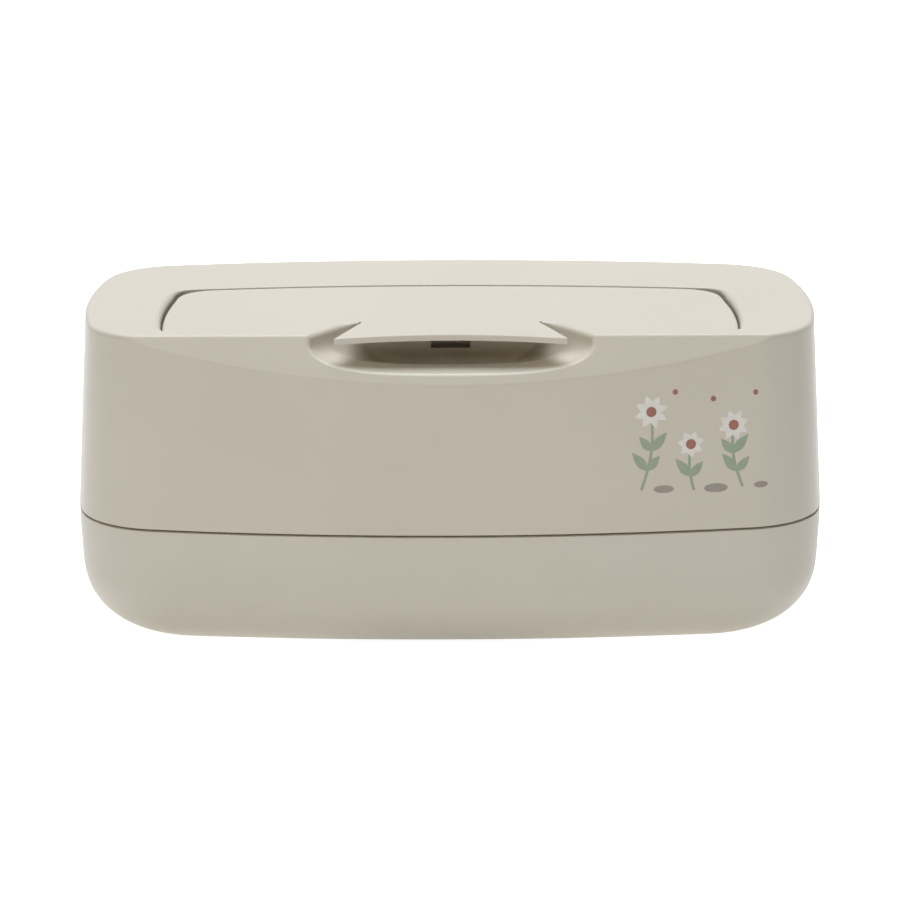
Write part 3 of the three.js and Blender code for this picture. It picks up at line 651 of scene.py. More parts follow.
# From the ceiling down to the rim, with a groove at each end for the tray's snap bead
def coverInside(size):
    ceiling = box["top"] - size["ceiling"]
    turns = np.linspace(pi / 2, 0, size["insideSteps"] + 1)
    bead, half = box["split"] + tray["beadRise"], tray["beadHeight"] / 2
    slope = half + size["beadSlope"]
    fineTo = size["fineFrom"] - 1
    heights = np.concatenate([
        ceiling - size["ceilingRound"] * (1 - np.sin(turns)),
        np.arange(ceiling - size["ceilingRound"] - 1, fineTo, -size["insideRow"]),
        np.linspace(fineTo - size["rowGap"], bead + size["rowGap"], size["insideRows"]),
        bead + np.array([slope, half, -half, -slope]),
        [size["bottom"]],
    ])
    insets = size["wall"] + drawIn(heights)
    insets[: len(turns)] += size["ceilingRound"] * (1 - np.cos(turns))
    insets = np.repeat(insets[:, None], len(boxOutline), axis=1)
    groove = (np.abs(heights - bead) < (half + slope) / 2)[:, None]
    insets -= size["beadGroove"] * groove * beadShare(size["beadHalf"])
    return coverRings(insets, heights, size["wall"] / np.cos(size["facetTilt"]))


# Finger scoop in the front edge of the cover

scoop = {
    "halfFront": 43.6,
    "flare": 0.74,
    "flareBlend": 2.4,
    "back": facetTop - 16.4,
    "cornerWidth": 2.8,
    "cornerDepth": 4.5,
    "rimDepth": 10.3,
    "shelf": 12,
    "backDepth": 18,
    "endRise": 0.5,
    "roundness": 3.1,
    "meanHalf": 40,
    "meanDepth": 13,
    "sideEdge": 1.7,
    "frontEdge": 2.0,
    "backEdge": 0.25,
    "cornerFade": (2, 8),  # before and after the front corner, where the edge grows from the side's
    "backFade": 5,
    "edgeStop": radians(8),  # the edge stops this far short of the surface's slope, to cross it cleanly
    "edgeRun": 1.0,
    "edgeLift": 4,
    "roofLift": 8,
    "pocketPast": 3,
    "backSide": 0.15,  # share of the back's width that each side's columns end in
    "crowding": 1.5,
    "inwardCrowding": 1.8,
    "frontPoints": 150,
    "sidePoints": 40,
    "edgeSteps": 8,
    "inwardSteps": 26,
    "meetingSteps": 40,
}
scoop["rim"] = facetTop + scoop["rimDepth"] * tan(cover["facetTilt"])


def lengthAlong(points):
    return np.cumsum(np.linalg.norm(np.diff(points, axis=0, prepend=points[:1]), axis=1))


# Half a superellipse: across is minus the cosine and hang the sine of a turn, each to the power of two over
# the roundness. Shares of its length, on a scoop of mean size, find its points
superTurn = np.linspace(0, pi, 6001)
superAcross = -np.sign(np.cos(superTurn)) * np.abs(np.cos(superTurn)) ** (2 / scoop["roundness"])
superHang = np.sin(superTurn) ** (2 / scoop["roundness"])
superLine = np.column_stack([superAcross * scoop["meanHalf"], superHang * scoop["meanDepth"]])
superLength = lengthAlong(superLine)
superShare = superLength / superLength[-1]


# Half the scoop's width: straight flared sides, softly ended at the facet, less elliptic rear corners
def scoopHalf(forward):
    flare = softMinimum(forward - facetTop, 0, scoop["flareBlend"])
    left = 1 - np.clip((forward - scoop["back"]) / scoop["cornerDepth"], 0, 1)
    return scoop["halfFront"] + scoop["flare"] * flare - scoop["cornerWidth"] * (1 - np.sqrt(1 - left**2))


# The scoop's depth: a smooth step from the pocket at the back up to the level shelf behind the rim. Towards
# the ends the pocket rises to about the shelf's level, by a share that grows with the square of across
def scoopDepth(forward, across):
    start = scoop["back"] + scoop["cornerDepth"]
    share = np.clip((forward - start) / (scoop["rim"] - scoop["shelf"] - start), 0, 1)
    step = share**3 * (share * (6 * share - 15) + 10)
    middle = scoop["backDepth"] + (scoop["rimDepth"] - scoop["backDepth"]) * step
    return middle * (1 - scoop["endRise"] * across**2 * (1 - step))


# A point of the bowl by how far forward it is and its share of the way across: half the width times across,
# and the top less the depth times hang
def bowlPoint(forward, share):
    across = np.interp(share, superShare, superAcross)
    hang = np.interp(share, superShare, superHang)
    height = box["top"] - scoopDepth(forward, across) * hang
    return np.stack([across * scoopHalf(forward), -forward, height], axis=-1)


def bowlShare(points):
    power = scoop["roundness"] / 2
    across = np.clip(points[..., 0] / scoopHalf(-points[..., 1]), -1, 1)
    hang = np.clip((box["top"] - points[..., 2]) / scoopDepth(-points[..., 1], across), 0, 1)
    turn = np.arctan2(hang**power, -np.sign(across) * np.abs(across) ** power)
    return np.interp(turn, superTurn, superShare)


# Forward places and shares of the rim, down the left side, across the front and up the right side. Where
# bowl and facet meet is found in steps, each of which goes halfway
def scoopRim(crowded):
    sideForward = scoop["back"] + (facetForward(box["top"]) - scoop["back"]) * crowded
    share = np.linspace(0, 1, 4001)
    forward = np.full(len(share), facetTop + 1)
    for _ in range(scoop["meetingSteps"]):
        forward = (forward + facetForward(bowlPoint(forward, share)[:, 2])) / 2
    length = lengthAlong(bowlPoint(forward, share))
    even = np.linspace(0, length[-1], scoop["frontPoints"])
    return (
        np.concatenate([sideForward, np.interp(even, length, forward), sideForward[::-1]]),
        np.concatenate([0 * crowded, np.interp(even, length, share), 0 * crowded + 1]),
    )


# The radius of the rim's edge: from the back's to the side's and on to the front's
def scoopEdgeRadius(rim):
    along = lengthAlong(rim)
    fromEnd = np.minimum(along, along[-1] - along)
    corner = along[scoop["sidePoints"]]
    before, after = scoop["cornerFade"]
    atFront = smoothStep(fromEnd, corner - before, corner + after)
    radius = scoop["sideEdge"] + (scoop["frontEdge"] - scoop["sideEdge"]) * atFront
    return scoop["backEdge"] + (radius - scoop["backEdge"]) * smoothStep(fromEnd, 0, scoop["backFade"])


# The tool that cuts the scoop. Its columns start at the rim, where a ball rolling between the bowl and the
# cover's outside would round the edge: the ball's centre lies inward from the rim along the sum of both
# normals, and the edge swings about it from one normal to the other. Then they run down the bowl to its
# back
def scoopTool():
    crowded = np.linspace(0, 1, scoop["sidePoints"], endpoint=False) ** scoop["crowding"]
    forward, share = scoopRim(crowded)
    rim = bowlPoint(forward, share)
    radius = scoopEdgeRadius(rim)[:, None]

    # the bowl's normal from places a little to each side, and the outside's from the height
    step, stride = 0.004, 0.05
    down = bowlPoint(forward, np.minimum(share + step, 1)) - bowlPoint(forward, np.maximum(share - step, 0))
    behind = np.maximum(forward - stride, scoop["back"])
    ahead = bowlPoint(forward + stride, share) - bowlPoint(behind, share)
    bowlNormal = unit(np.cross(ahead, down))
    lift = (rim[:, 2] - box["top"] + cover["edge"]) / cover["edge"]
    lift = np.clip(lift, np.sin(cover["facetTilt"]), 1)
    outNormal = np.column_stack([0 * lift, -np.sqrt(1 - lift**2), lift])
    cosine = (bowlNormal * outNormal).sum(1, keepdims=True)
    turn = np.arccos(np.clip(cosine, -1, 1))
    centre = rim - radius * (bowlNormal + outNormal) / (1 + cosine)

    def swing(part):
        return (np.sin((1 - part) * turn) * bowlNormal + np.sin(part * turn) * outNormal) / np.sin(turn)

    last = 1 - scoop["edgeStop"] / turn
    steps = scoop["edgeSteps"]
    edge = [centre + radius * swing(last * k / steps) for k in range(steps, -1, -1)]
    near = 0.01
    leaving = unit(swing(last + near) - swing(last - near))
    beyond = edge[0] + scoop["edgeRun"] * leaving
    above = beyond + scoop["edgeLift"] * outNormal
    roof = above * [1, 1, 0] + [0, 0, box["top"] + scoop["roofLift"]]

    # down the bowl, where the small gap between ball and bowl fades out
    touch = edge[-1]
    touchForward, touchShare = -touch[:, 1], bowlShare(touch)
    slip = touch - bowlPoint(touchForward, touchShare)
    side, ends = scoop["backSide"], touchShare[0]
    backShare = np.clip(np.concatenate([
        side * crowded,
        side + (1 - 2 * side) * np.linspace(0, 1, scoop["frontPoints"]),
        1 - side * crowded[::-1],
    ]), ends, 1 - ends)
    inward = []
    for k in range(1, scoop["inwardSteps"] + 1):
        part = 1 - (1 - k / scoop["inwardSteps"]) ** scoop["inwardCrowding"]
        at = touchForward + (scoop["back"] - touchForward) * part
        inward.append(bowlPoint(at, touchShare + (backShare - touchShare) * part) + slip * (1 - part) ** 4)
    return faceOutwards(stackPiece("scoopTool", np.stack([roof, above, beyond, *edge, *inward])))


# Pocket round the scoop: the bowl moved out by a wall, as a solid up past the cover's top
def scoopPocket(wall):
    start, straight = scoop["back"], scoop["back"] + scoop["cornerDepth"]
    forward = np.concatenate([
        [start - wall],
        start + scoop["cornerDepth"] * np.linspace(0, 1, 12) ** 2,
        np.linspace(straight, box["depth"] / 2 + scoop["pocketPast"], 24)[1:],
    ])
    share = np.linspace(0, 1, 61)
    across = np.interp(share, superShare, superAcross)
    hang = np.interp(share, superShare, superHang)
    half = (scoopHalf(forward) + wall)[:, None]
    drop = scoopDepth(forward[:, None], across) + wall
    y = np.broadcast_to(-forward[:, None], (len(forward), len(share)))
    floor = np.stack([across * half, y, box["top"] - drop * hang], axis=2)
    roof = floor[:, ::-1] * [1, 1, 0] + [0, 0, box["top"] + scoop["pocketPast"]]
    return faceOutwards(stackPiece("scoopPocket", np.concatenate([floor, roof[:, 1:-1]], axis=1)))


# Lid well

well = {
    "halfLength": box["length"] / 2 - 28.9,
    "widest": 32.4 - facetTop,
    "rear": box["depth"] / 2 - 43.4,
    "rearCorner": 5,
    "frontCorner": 8.5,
    "lip": 2.0,
    "wall": 2.0,
    "depth": 10,
    "deck": 2.0,
    "troughDepth": 4.2,
    "troughFront": 6.2,
    "endEdge": 2.2,
    "rearEdge": 0.4,
    "seamEdge": 0.12,
    "endFade": (60, 70),  # across, where the edge grows from the seam's to the ends'
    "frontFade": (4, 11),  # the same from the facet's top backwards
    "rearFade": (4, box["depth"] / 2 - 48.4),
    "floorRound": 1.0,
    "flareTurn": radians(82),  # the edge stops short of level, to cross the top cleanly
    "crossShare": 0.16,
    "crossLeast": 0.02,
    "above": 3,
    "past": 1,  # how far the cuts of the trough and the mouth run past a face
    "bodyDrop": 1.2,
    "bodyRound": 1.5,
    "troughBodyRound": 1.0,
    "troughRound": 0.8,
}
deckTop = box["top"] - well["depth"]
troughTop = deckTop - well["troughDepth"]


# The scoop's right edge in plan, moved out by a distance, from its back wall to a line along the front
def besideScoop(distance, front, steps=48):
    flare, depth = scoop["flare"], scoop["cornerDepth"]
    end = distance * flare / np.hypot(1, flare) - front
    forward = scoop["back"] + (end - scoop["back"]) * np.linspace(0, 1, steps + 1) ** 2
    left = 1 - np.clip((forward - scoop["back"]) / depth, 0, 1)
    straight = scoop["halfFront"] - flare * (facetTop - forward)
    half = straight - scoop["cornerWidth"] * (1 - np.sqrt(1 - left**2))
    least = 1e-9  # keeps the slope finite where the corner starts square to the back
    turn = scoop["cornerWidth"] / depth * left / np.sqrt(np.maximum(1 - left**2, least))
    away = unit(np.column_stack([np.ones(steps + 1), flare + turn]))
    return np.column_stack([half, -forward]) + distance * away


# A parabola from start to end that leaves and arrives towards the control point
def bend(start, control, end, steps=12):
    t = np.linspace(0, 1, steps + 1)[:, None]
    return (1 - t) ** 2 * np.array(start) + 2 * t * (1 - t) * np.array(control) + t**2 * np.array(end)


# Right half of a plan that well and lid share: a round front corner, an end that bows as the box's own
# does, a round rear corner, and a rear edge that keeps its distance from the box's back
def endAndRear(size, front, halfLength, rear, points=32):
    def rearAt(x):
        return rear - x**2 / (2 * box["frontBow"])

    def endAt(y):
        return halfLength - (y - size["widest"]) ** 2 / (2 * box["endBow"])

    meet = rearAt(halfLength)
    cornerX = endAt(meet)
    frontX, turnX = endAt(front), cornerX - size["rearCorner"]
    fromY, toY = front + size["frontCorner"], meet - size["rearCorner"]
    y = np.linspace(fromY, toY, points)
    x = turnX * np.linspace(1, 0, points)
    return np.concatenate([
        bend((frontX - size["frontCorner"], front), (frontX, front), (endAt(fromY), fromY))[:-1],
        np.column_stack([endAt(y), y])[:-1],
        bend((endAt(toY), toY), (cornerX, rearAt(cornerX)), (turnX, rearAt(turnX)))[:-1],
        np.column_stack([x, rearAt(x)]),
    ])


# A right half and its mirror image, in which the last point is shared, and the first where it is asked for
def mirrored(right, startShared):
    left = right[1:-1] if startShared else right[:-1]
    return np.concatenate([right, left[::-1] * [-1, 1]])


# The radius of the top edge round well and lid, which run side by side: the seam's along the lip, where
# both meet, the ends' at both ends, and the rear's along the rear
def topEdge(size, outline):
    x, y = np.abs(outline[:, 0]), outline[:, 1]
    near, far = size["frontFade"]
    atEnd = smoothStep(y, near - facetTop, far - facetTop) * smoothStep(x, *well["endFade"])
    radius = size["seamEdge"] + (size["endEdge"] - size["seamEdge"]) * atEnd
    return radius + (size["rearEdge"] - radius) * smoothStep(y, *size["rearFade"])


def wellOutline(grow):
    front = well["lip"] - facetTop - grow
    right = np.concatenate([
        besideScoop(well["lip"] - grow, front),
        endAndRear(well, front, well["halfLength"] + grow, well["rear"] + grow),
    ])
    return mirrored(right, False)


# The tool that sinks the well. Its top edge flares out to round the cover's edge
def wellTool():
    outline = wellOutline(0)
    radius = topEdge(well, outline)
    base = padRings(outline, deckTop, box["top"], well["floorRound"], 0, steps=7)[:-1]
    flare = padRings(outline, deckTop, box["top"], 0, -radius, steps=7, fullTurn=well["flareTurn"])[1:]
    rings = np.concatenate([base, flare])
    rise = np.full(len(outline), tan(pi / 2 - well["flareTurn"]))
    onward = np.column_stack([outlineNormals(outline), rise])
    beyond = rings[-1] + onward * (well["crossShare"] * radius + well["crossLeast"])[:, None]
    above = beyond + [0, 0, well["above"]]
    return stackPiece("wellTool", np.concatenate([rings, beyond[None], above[None]]))


# What of an outline lies behind a line across it
def behindLine(outline, line):
    kept = outline[outline[:, 1] > line]
    kept = kept[np.argsort(np.arctan2(kept[:, 1] - line, kept[:, 0]))]
    return np.concatenate([kept, [[kept[-1, 0], line], [kept[0, 0], line]]])


# Sealing collar round the dispensing mouth, and the hinge

collar = {
    "halfLength": box["length"] / 2 - 54,
    "front": well["lip"] + 3 - scoop["back"],
    "rear": well["troughFront"] - well["wall"],
    "corner": 15,
    "wall": 1.8,
    "height": 5.8,
    "edge": 0.6,
    "root": 1,
}
collarMiddle = (collar["front"] + collar["rear"]) / 2
collarHalf = (collar["rear"] - collar["front"]) / 2

hinge = {
    "y": well["rear"] - 11.1,
    "z": box["top"] - 3.4,
    "middle": box["length"] / 2 - 56,
    "knuckle": 2.6,
    "knuckleLength": 8,
    "ear": 2.2,
    "earFront": 2.2,
    "earRear": 0.4,
    "earThickness": 3,
    "earGap": 0.3,
    "earRoot": 1,
    "webTurn": 0.2,
    "edge": 0.3,
    "pin": 1.1,
    "pinReach": 7.9,
    "pinChamfer": 0.3,
    "pinCollar": 0.12,
    "pinRelief": 0.06,
    "pinRound": 0.1,
    "earBore": 0.1,
    "earBoreHalf": 2,
    "lidBore": 0.18,
}
earOffset = hinge["knuckleLength"] / 2 + hinge["earGap"] + hinge["earThickness"] / 2
earMiddles = [side * hinge["middle"] + end * earOffset for side in (-1, 1) for end in (-1, 1)]


def collarOutline(inset):
    return roundedRectangle(collar["halfLength"] - inset, collarHalf - inset, collar["corner"] - inset,
                            middleY=collarMiddle)


# A ring round the mouth with a rectangular section, its two sides given as distances out from the outline,
# then its two levels, and the radii of its edges at both levels
def collarRing(name, inset, sides, levels, radii):
    (near, far), (low, high), (lowRound, highRound) = sides, levels, radii
    section = [(near, low, lowRound), (far, low, lowRound), (far, high, highRound), (near, high, highRound)]
    line = collarOutline(inset)
    return loopPiece(name, line, outlineNormals(line), roundedLine(section, closed=True))


# A circle about the hinge's axis, seen from the side: y across and z up
def hingeCircle(radius, steps=48):
    return circle(radius, hinge["y"], hinge["z"], steps)


# An ear is a round boss on a web, seen from the side, with its edges rounded
def hingeEar(middle):
    y, z, radius = hinge["y"], hinge["z"], hinge["ear"]
    base, rear = troughTop - hinge["earRoot"], y + hinge["earRear"]
    outline = np.concatenate([
        arc(radius, np.linspace(0, pi, 25), y, z),
        [(y - hinge["earFront"], base), (rear, base), (rear, z - radius)],
        arc(radius, np.linspace(0, pi / 3, 9) - pi / 2 + hinge["webTurn"], y, z),
    ])
    return barPiece("ear", outline, middle, hinge["earThickness"] / 2, hinge["edge"])


def makeCover(size):
    outside = coverOutside(size)
    shell = stackPiece("coverShell", np.concatenate([coverInside(size), outside]))
    hull = stackPiece("hull", outside)

    # the well's and trough's bodies and the pocket's are joined on, and what lies in them is cut out
    wall, deck, past = well["wall"], well["deck"], well["past"]
    bodyPlan, bodyTop = wellOutline(wall), box["top"] - well["bodyDrop"]
    body = padPiece("wellBody", bodyPlan, deckTop - deck, bodyTop, well["bodyRound"], 0)
    troughPlan = behindLine(bodyPlan, well["troughFront"] - wall)
    troughBody = padPiece("troughBody", troughPlan, troughTop - deck, bodyTop, well["troughBodyRound"], 0)
    pocket = combine(scoopPocket(wall), "INTERSECT", hull)
    combine(shell, "UNION", body, troughBody, pocket)
    troughPlan = behindLine(wellOutline(0), well["troughFront"])
    trough = padPiece("trough", troughPlan, troughTop, deckTop + past, well["troughRound"], 0)
    mouth = padPiece("mouth", collarOutline(collar["wall"]), deckTop - 2 * deck - past, deckTop + deck)
    gatePlan = catchPlan(catch["gateHalf"], catch["gateDepth"])
    gate = padPiece("gate", gatePlan, catchTop, box["top"] + catch["above"])
    high, edge = catchTop - catch["bar"], catch["edge"]
    windowPlan = catchPlan(catch["windowHalf"], catch["windowDepth"])
    window = padPiece("window", windowPlan, high - catch["windowHeight"], high, edge, edge, 3)
    combine(shell, "DIFFERENCE", wellTool(), trough, scoopTool(), mouth, gate, window)

    levels = deckTop - collar["root"], deckTop + collar["height"]
    rim = collarRing("collar", 0, (-collar["wall"], 0), levels, (0, collar["edge"]))
    combine(shell, "UNION", rim, *[hingeEar(middle) for middle in earMiddles])
    bore = hingeCircle(hinge["pin"] + hinge["earBore"])
    bores = [barPiece("bore", bore, middle, hinge["earBoreHalf"]) for middle in earMiddles]
    return combine(shell, "DIFFERENCE", *bores)


# Lid

lid = {
    "thickness": 2.0,
    "drop": 0.15,
    "halfLength": well["halfLength"] - 1.0,
    "widest": 24.9 - facetTop,
    "rearGap": 1.4,
    "rearCorner": 10.5,
    "frontCorner": 6.5,
    "frontGap": 0.35,
    "tabRoot": 27.9,
    "tabRootSetBack": 1.1,
    "tabTip": 36.2,
    "tabOverhang": 4.4,
    "tabHollow": 5.4,
    "tabCorner": 0.5,
    "rearEdge": 0.35,
    "endEdge": 1.4,
    "tabEdge": 0.5,
    "tabPast": (1, 0.5),
    "seamEdge": 0.12,
    "underEdge": 0.3,
    "frontFade": (3, 10),
    "rearFade": (-5, well["rear"] - 12),
    "tabRootRound": 0.5,
    "lipRound": 0.4,
    "root": 0.5,
    "ribHeight": 1.2,
    "ribThickness": 1.1,
    "ribEdge": 0.35,
    "sealWidth": 2.4,
    "sealGap": 0.2,
    "sealTopGap": 0.1,
    "sealEdge": 0.4,
    "hookHalf": 5.3,
    "hookGap": 0.35,
    "hookThickness": 1.6,
    "hookEdge": 0.3,
    "hookLead": 0.2,
    "barb": 0.9,
    "barbGap": 0.3,
    "barbHeight": 0.8,
    "barbLead": 0.38,
    "barbFillet": 0.15,
    "barbRound": 0.12,
    "leadRound": 0.1,
    "relief": 0.25,
    "saddleRear": 12,
}
lidTop = box["top"] - lid["drop"]
lidBottom = lidTop - lid["thickness"]

# The gate lets the tab's root through the cover's wall, and the hook clips into the window below it
catch = {
    "drop": 4.9,
    "gateHalf": lid["tabRoot"] + 0.75,
    "gateDepth": 4,
    "above": 5,
    "windowHalf": 6.2,
    "windowDepth": 2.5,
    "windowHeight": 2.4,
    "bar": 0.9,
    "edge": 0.3,
}
catchTop = box["top"] - catch["drop"]


def catchPlan(half, depth):
    return roundedRectangle(half, depth, catch["edge"], middleY=well["lip"] / 2 - scoop["back"])


# The lid's plan: a tab that flares like a dovetail and has a hollow tip, then the lip's line, the end and
# the rear
def lidOutline():
    setBack = well["lip"] + lid["frontGap"]
    front = setBack - facetTop
    tipY = -facetTop - lid["tabOverhang"]
    share = np.linspace(0, 1, 24)
    tip = np.column_stack([lid["tabTip"] * share, tipY + lid["tabHollow"] * (1 - share**2)])
    lip = besideScoop(setBack, front)
    side = roundedLine([
        (*tip[-2], 0),
        (*tip[-1], lid["tabCorner"]),
        (lid["tabRoot"], lid["tabRootSetBack"] - scoop["back"], lid["tabRootRound"]),
        (lid["tabRoot"], lip[0, 1], lid["lipRound"]),
        (*lip[0], 0),
        (*lip[1], 0),
    ], steps=8)
    endPart = endAndRear(lid, front, lid["halfLength"], well["rear"] - lid["rearGap"])
    return mirrored(np.concatenate([tip[:-2], side[:-1], lip[1:], endPart]), True)


# The lid's hook, seen from the side: a leg with a barb in front and a slanted lead-in under it
def lidHook(size, roof):
    front = well["lip"] + size["hookGap"] - scoop["back"]
    rear = front + size["hookThickness"]
    barbTop = catchTop - catch["bar"] - size["barbGap"]
    low = barbTop - size["barbHeight"]
    outline = roundedLine([
        (front, roof, 0),
        (front, barbTop, size["barbFillet"]),
        (front - size["barb"], barbTop, size["barbRound"]),
        (front, low + size["barbLead"], size["hookEdge"]),
        (front + size["hookLead"], low, size["leadRound"]),
        (rear, low, size["hookEdge"]),
        (rear, roof, 0),
    ], closed=True, steps=3)
    return barPiece("hook", outline, 0, size["hookHalf"], size["hookEdge"])


def makeLid(size):
    outline = lidOutline()
    x, y = np.abs(outline[:, 0]), outline[:, 1]
    pastX, pastY = size["tabPast"]
    atTab = (x < size["tabTip"] + pastX) & (y < pastY - scoop["back"])
    edge = np.where(atTab, size["tabEdge"], topEdge(size, outline))
    panel = padPiece("lid", outline, lidBottom, lidTop, size["underEdge"], edge, 6)

    roof, low = lidBottom + size["root"], lidBottom - size["ribHeight"]
    half, thickness = size["sealWidth"] / 2 + size["sealGap"], size["ribThickness"]
    added = [
        collarRing("rib", collar["wall"] / 2, (near, near + thickness), (low, roof), (size["ribEdge"], 0))
        for near in (half, -half - thickness)
    ]
    added.append(lidHook(size, roof))
    bore = hingeCircle(hinge["pin"] + hinge["lidBore"], 32)
    cut = []
    for middle in (-hinge["middle"], hinge["middle"]):
        length = hinge["knuckleLength"] / 2
        added.append(barPiece("knuckle", hingeCircle(hinge["knuckle"]), middle, length, hinge["edge"]))
        cut.append(barPiece("bore", bore, middle, hinge["pinReach"] + size["relief"]))
    combine(panel, "UNION", *added)

    # round each ear a relief that is open towards the rear lets the lid turn
    clear, rear = hinge["ear"] + size["relief"], hinge["y"] + size["saddleRear"]
    saddle = np.concatenate([
        arc(clear, np.linspace(pi / 2, 3 * pi / 2, 25), hinge["y"], hinge["z"]),
        [(rear, hinge["z"] - clear), (rear, hinge["z"] + clear)],
    ])
    reach = hinge["earThickness"] / 2 + size["relief"]
    cut += [barPiece("relief", saddle, middle, reach) for middle in earMiddles]
    return combine(panel, "DIFFERENCE", *cut)


def makeLidSeal(size):
    half, edge = size["sealWidth"] / 2, size["sealEdge"]
    levels = deckTop + collar["height"] + size["sealGap"], lidBottom - size["sealTopGap"]
    return collarRing("lidSeal", collar["wall"] / 2, (-half, half), levels, (edge, edge))


# Small pieces

splitSeal = {
    "out": 2.32,
    "inside": 3.33,
    "low": 43.22,
    "high": 44.58,
    "edge": 0.35,
}


# The seal in the spigot's groove: a round-edged strip carried round the box, each point the box's outline
# less its inset and the cover's draft
def makeSplitSeal(size):
    profile = roundedLine([
        (size["out"], size["low"], size["edge"]),
        (size["out"], size["high"], size["edge"]),
        (size["inside"], size["high"], size["edge"]),
        (size["inside"], size["low"], size["edge"]),
    ], closed=True, steps=5)
    profile[:, 0] += drawIn(profile[:, 1])
    return faceOutwards(loopPiece("splitSeal", boxOutline, -boxNormals, profile))


foot = {
    "radius": 7,
    "core": 0.4,
    "top": 1.8,
    "edge": 0.5,
    "topEdge": 0.25,
    "ringRadius": 4.6,
    "ringHalf": 0.7,
    "ringDepth": 0.35,
    "ringSlope": 0.3,
    "ringLip": 0.2,
    "ringFillet": 0.15,
    "insetX": 48,
    "insetY": 40,
    "pocketRadius": 7.2,
    "pocketBottom": -1.0,
    "pocketTop": 2.0,
}
footPlaces = [
    (f"foot_{'front' if sideY < 0 else 'rear'}_{'left' if sideX < 0 else 'right'}",
     sideX * (box["length"] / 2 - foot["insetX"]), sideY * (box["depth"] / 2 - foot["insetY"]))
    for sideY in (-1, 1)
    for sideX in (-1, 1)
]


# A turned pad with a shallow ring in its underside
def makeFoot(size, x, y):
    near, far = size["ringRadius"] - size["ringHalf"], size["ringRadius"] + size["ringHalf"]
    depth, slope = size["ringDepth"], size["ringSlope"]
    profile = roundedLine([
        (size["core"], 0, 0),
        (near, 0, size["ringLip"]),
        (near + slope, depth, size["ringFillet"]),
        (far - slope, depth, size["ringFillet"]),
        (far, 0, size["ringLip"]),
        (size["radius"], 0, size["edge"]),
        (size["radius"], size["top"], size["topEdge"]),
        (size["core"], size["top"], 0),
    ], steps=4)
    return turnedPiece("foot", profile, [x, y], 64)


# A turned pin with a chamfer at each end. Between two narrow collars it is a hair thinner
def makePin(size, middle):
    reach, radius, chamfer = size["pinReach"], size["pin"], size["pinChamfer"]
    shoulder = reach - chamfer - size["pinCollar"]
    end = [
        (chamfer, reach, 0),
        (radius - chamfer, reach, size["pinRound"]),
        (radius, reach - chamfer, size["pinRound"]),
        (radius, shoulder, 0),
        (radius - size["pinRelief"], shoulder - size["pinRelief"], 0),
    ]
    profile = roundedLine([(out, -along, edge) for out, along, edge in end] + end[::-1], steps=3)
    profile[:, 1] += middle
    return faceOutwards(turnedPiece("pin", profile, [size["y"], size["z"]], 48, axis="x"))


# Press plate, its cover and its weights

plate = {
    "halfLength": box["length"] / 2 - 32,
    "halfDepth": box["depth"] / 2 - 25,
    "corner": 22,
    "bottom": 5.7,
    "top": 10.9,
    "edge": 1.0,
    "coverBottom": 3.8,
    "coverTop": 5.4,
    "mouthHalfX": 46,
    "mouthHalfY": 17,
    "mouthCorner": 16.49,
    "mouthRim": 2.0,
    "mouthRimHeight": 1.6,
    "weightHalfX": 11,
    "weightInset": 13,
    "weightCorner": 3,
    "weightTop": 8.7,
    "gap": 0.3,
    "underEdge": 0.3,
    "rimEdge": 0.6,
    "mouthFlare": 0.7,
    "coverUnderEdge": 0.9,
    "coverTopEdge": 0.2,
    "coverFlare": 0.5,
    "weightEdge": 0.35,
    "past": 1,  # how far a cut runs past a plain face, and past one that its flare has to meet
    "pastFlare": 0.02,
}


def plateOutline(size, grow=0.0):
    halfX, halfY, corner = size["halfLength"] + grow, size["halfDepth"] + grow, size["corner"] + grow
    return roundedRectangle(halfX, halfY, corner, steps=24)


def mouthPiece(name, size, low, high, grow=0.0, lowRound=0.0, highRound=0.0):
    halfX, halfY, corner = size["mouthHalfX"] + grow, size["mouthHalfY"] + grow, size["mouthCorner"] + grow
    return padPiece(name, roundedRectangle(halfX, halfY, corner), low, high, lowRound, highRound)


def weightOutline(size, side, grow=0.0):
    middle = side * (size["mouthHalfX"] + size["halfLength"]) / 2
    return roundedRectangle(size["weightHalfX"] + grow, size["halfDepth"] - size["weightInset"] + grow,
                            size["weightCorner"] + grow, middleX=middle)


def makePlate(size):
    bottom, rimTop = size["bottom"], size["top"] + size["mouthRimHeight"]
    slab = padPiece("plate", plateOutline(size), bottom, size["top"], size["underEdge"], size["edge"])
    rim = mouthPiece("rim", size, bottom + size["past"], rimTop, size["mouthRim"], 0, size["rimEdge"])
    combine(slab, "UNION", rim)
    low = bottom - size["past"]
    pockets = [
        padPiece("pocket", weightOutline(size, side, size["gap"]), low, size["weightTop"] + size["gap"])
        for side in (-1, 1)
    ]
    mouth = mouthPiece("mouth", size, low, rimTop + size["pastFlare"], highRound=-size["mouthFlare"])
    return combine(slab, "DIFFERENCE", mouth, *pockets)


def makePlateCover(size):
    low, high = size["coverBottom"], size["coverTop"]
    outline = plateOutline(size, -size["edge"])
    slab = padPiece("plateCover", outline, low, high, size["coverUnderEdge"], size["coverTopEdge"])
    flare = -size["coverFlare"]
    mouth = mouthPiece("mouth", size, low - size["pastFlare"], high + size["past"], lowRound=flare)
    return combine(slab, "DIFFERENCE", mouth)


def makeWeight(size, side):
    edge = size["weightEdge"]
    return padPiece("weight", weightOutline(size, side), size["bottom"], size["weightTop"], edge, edge, 3)


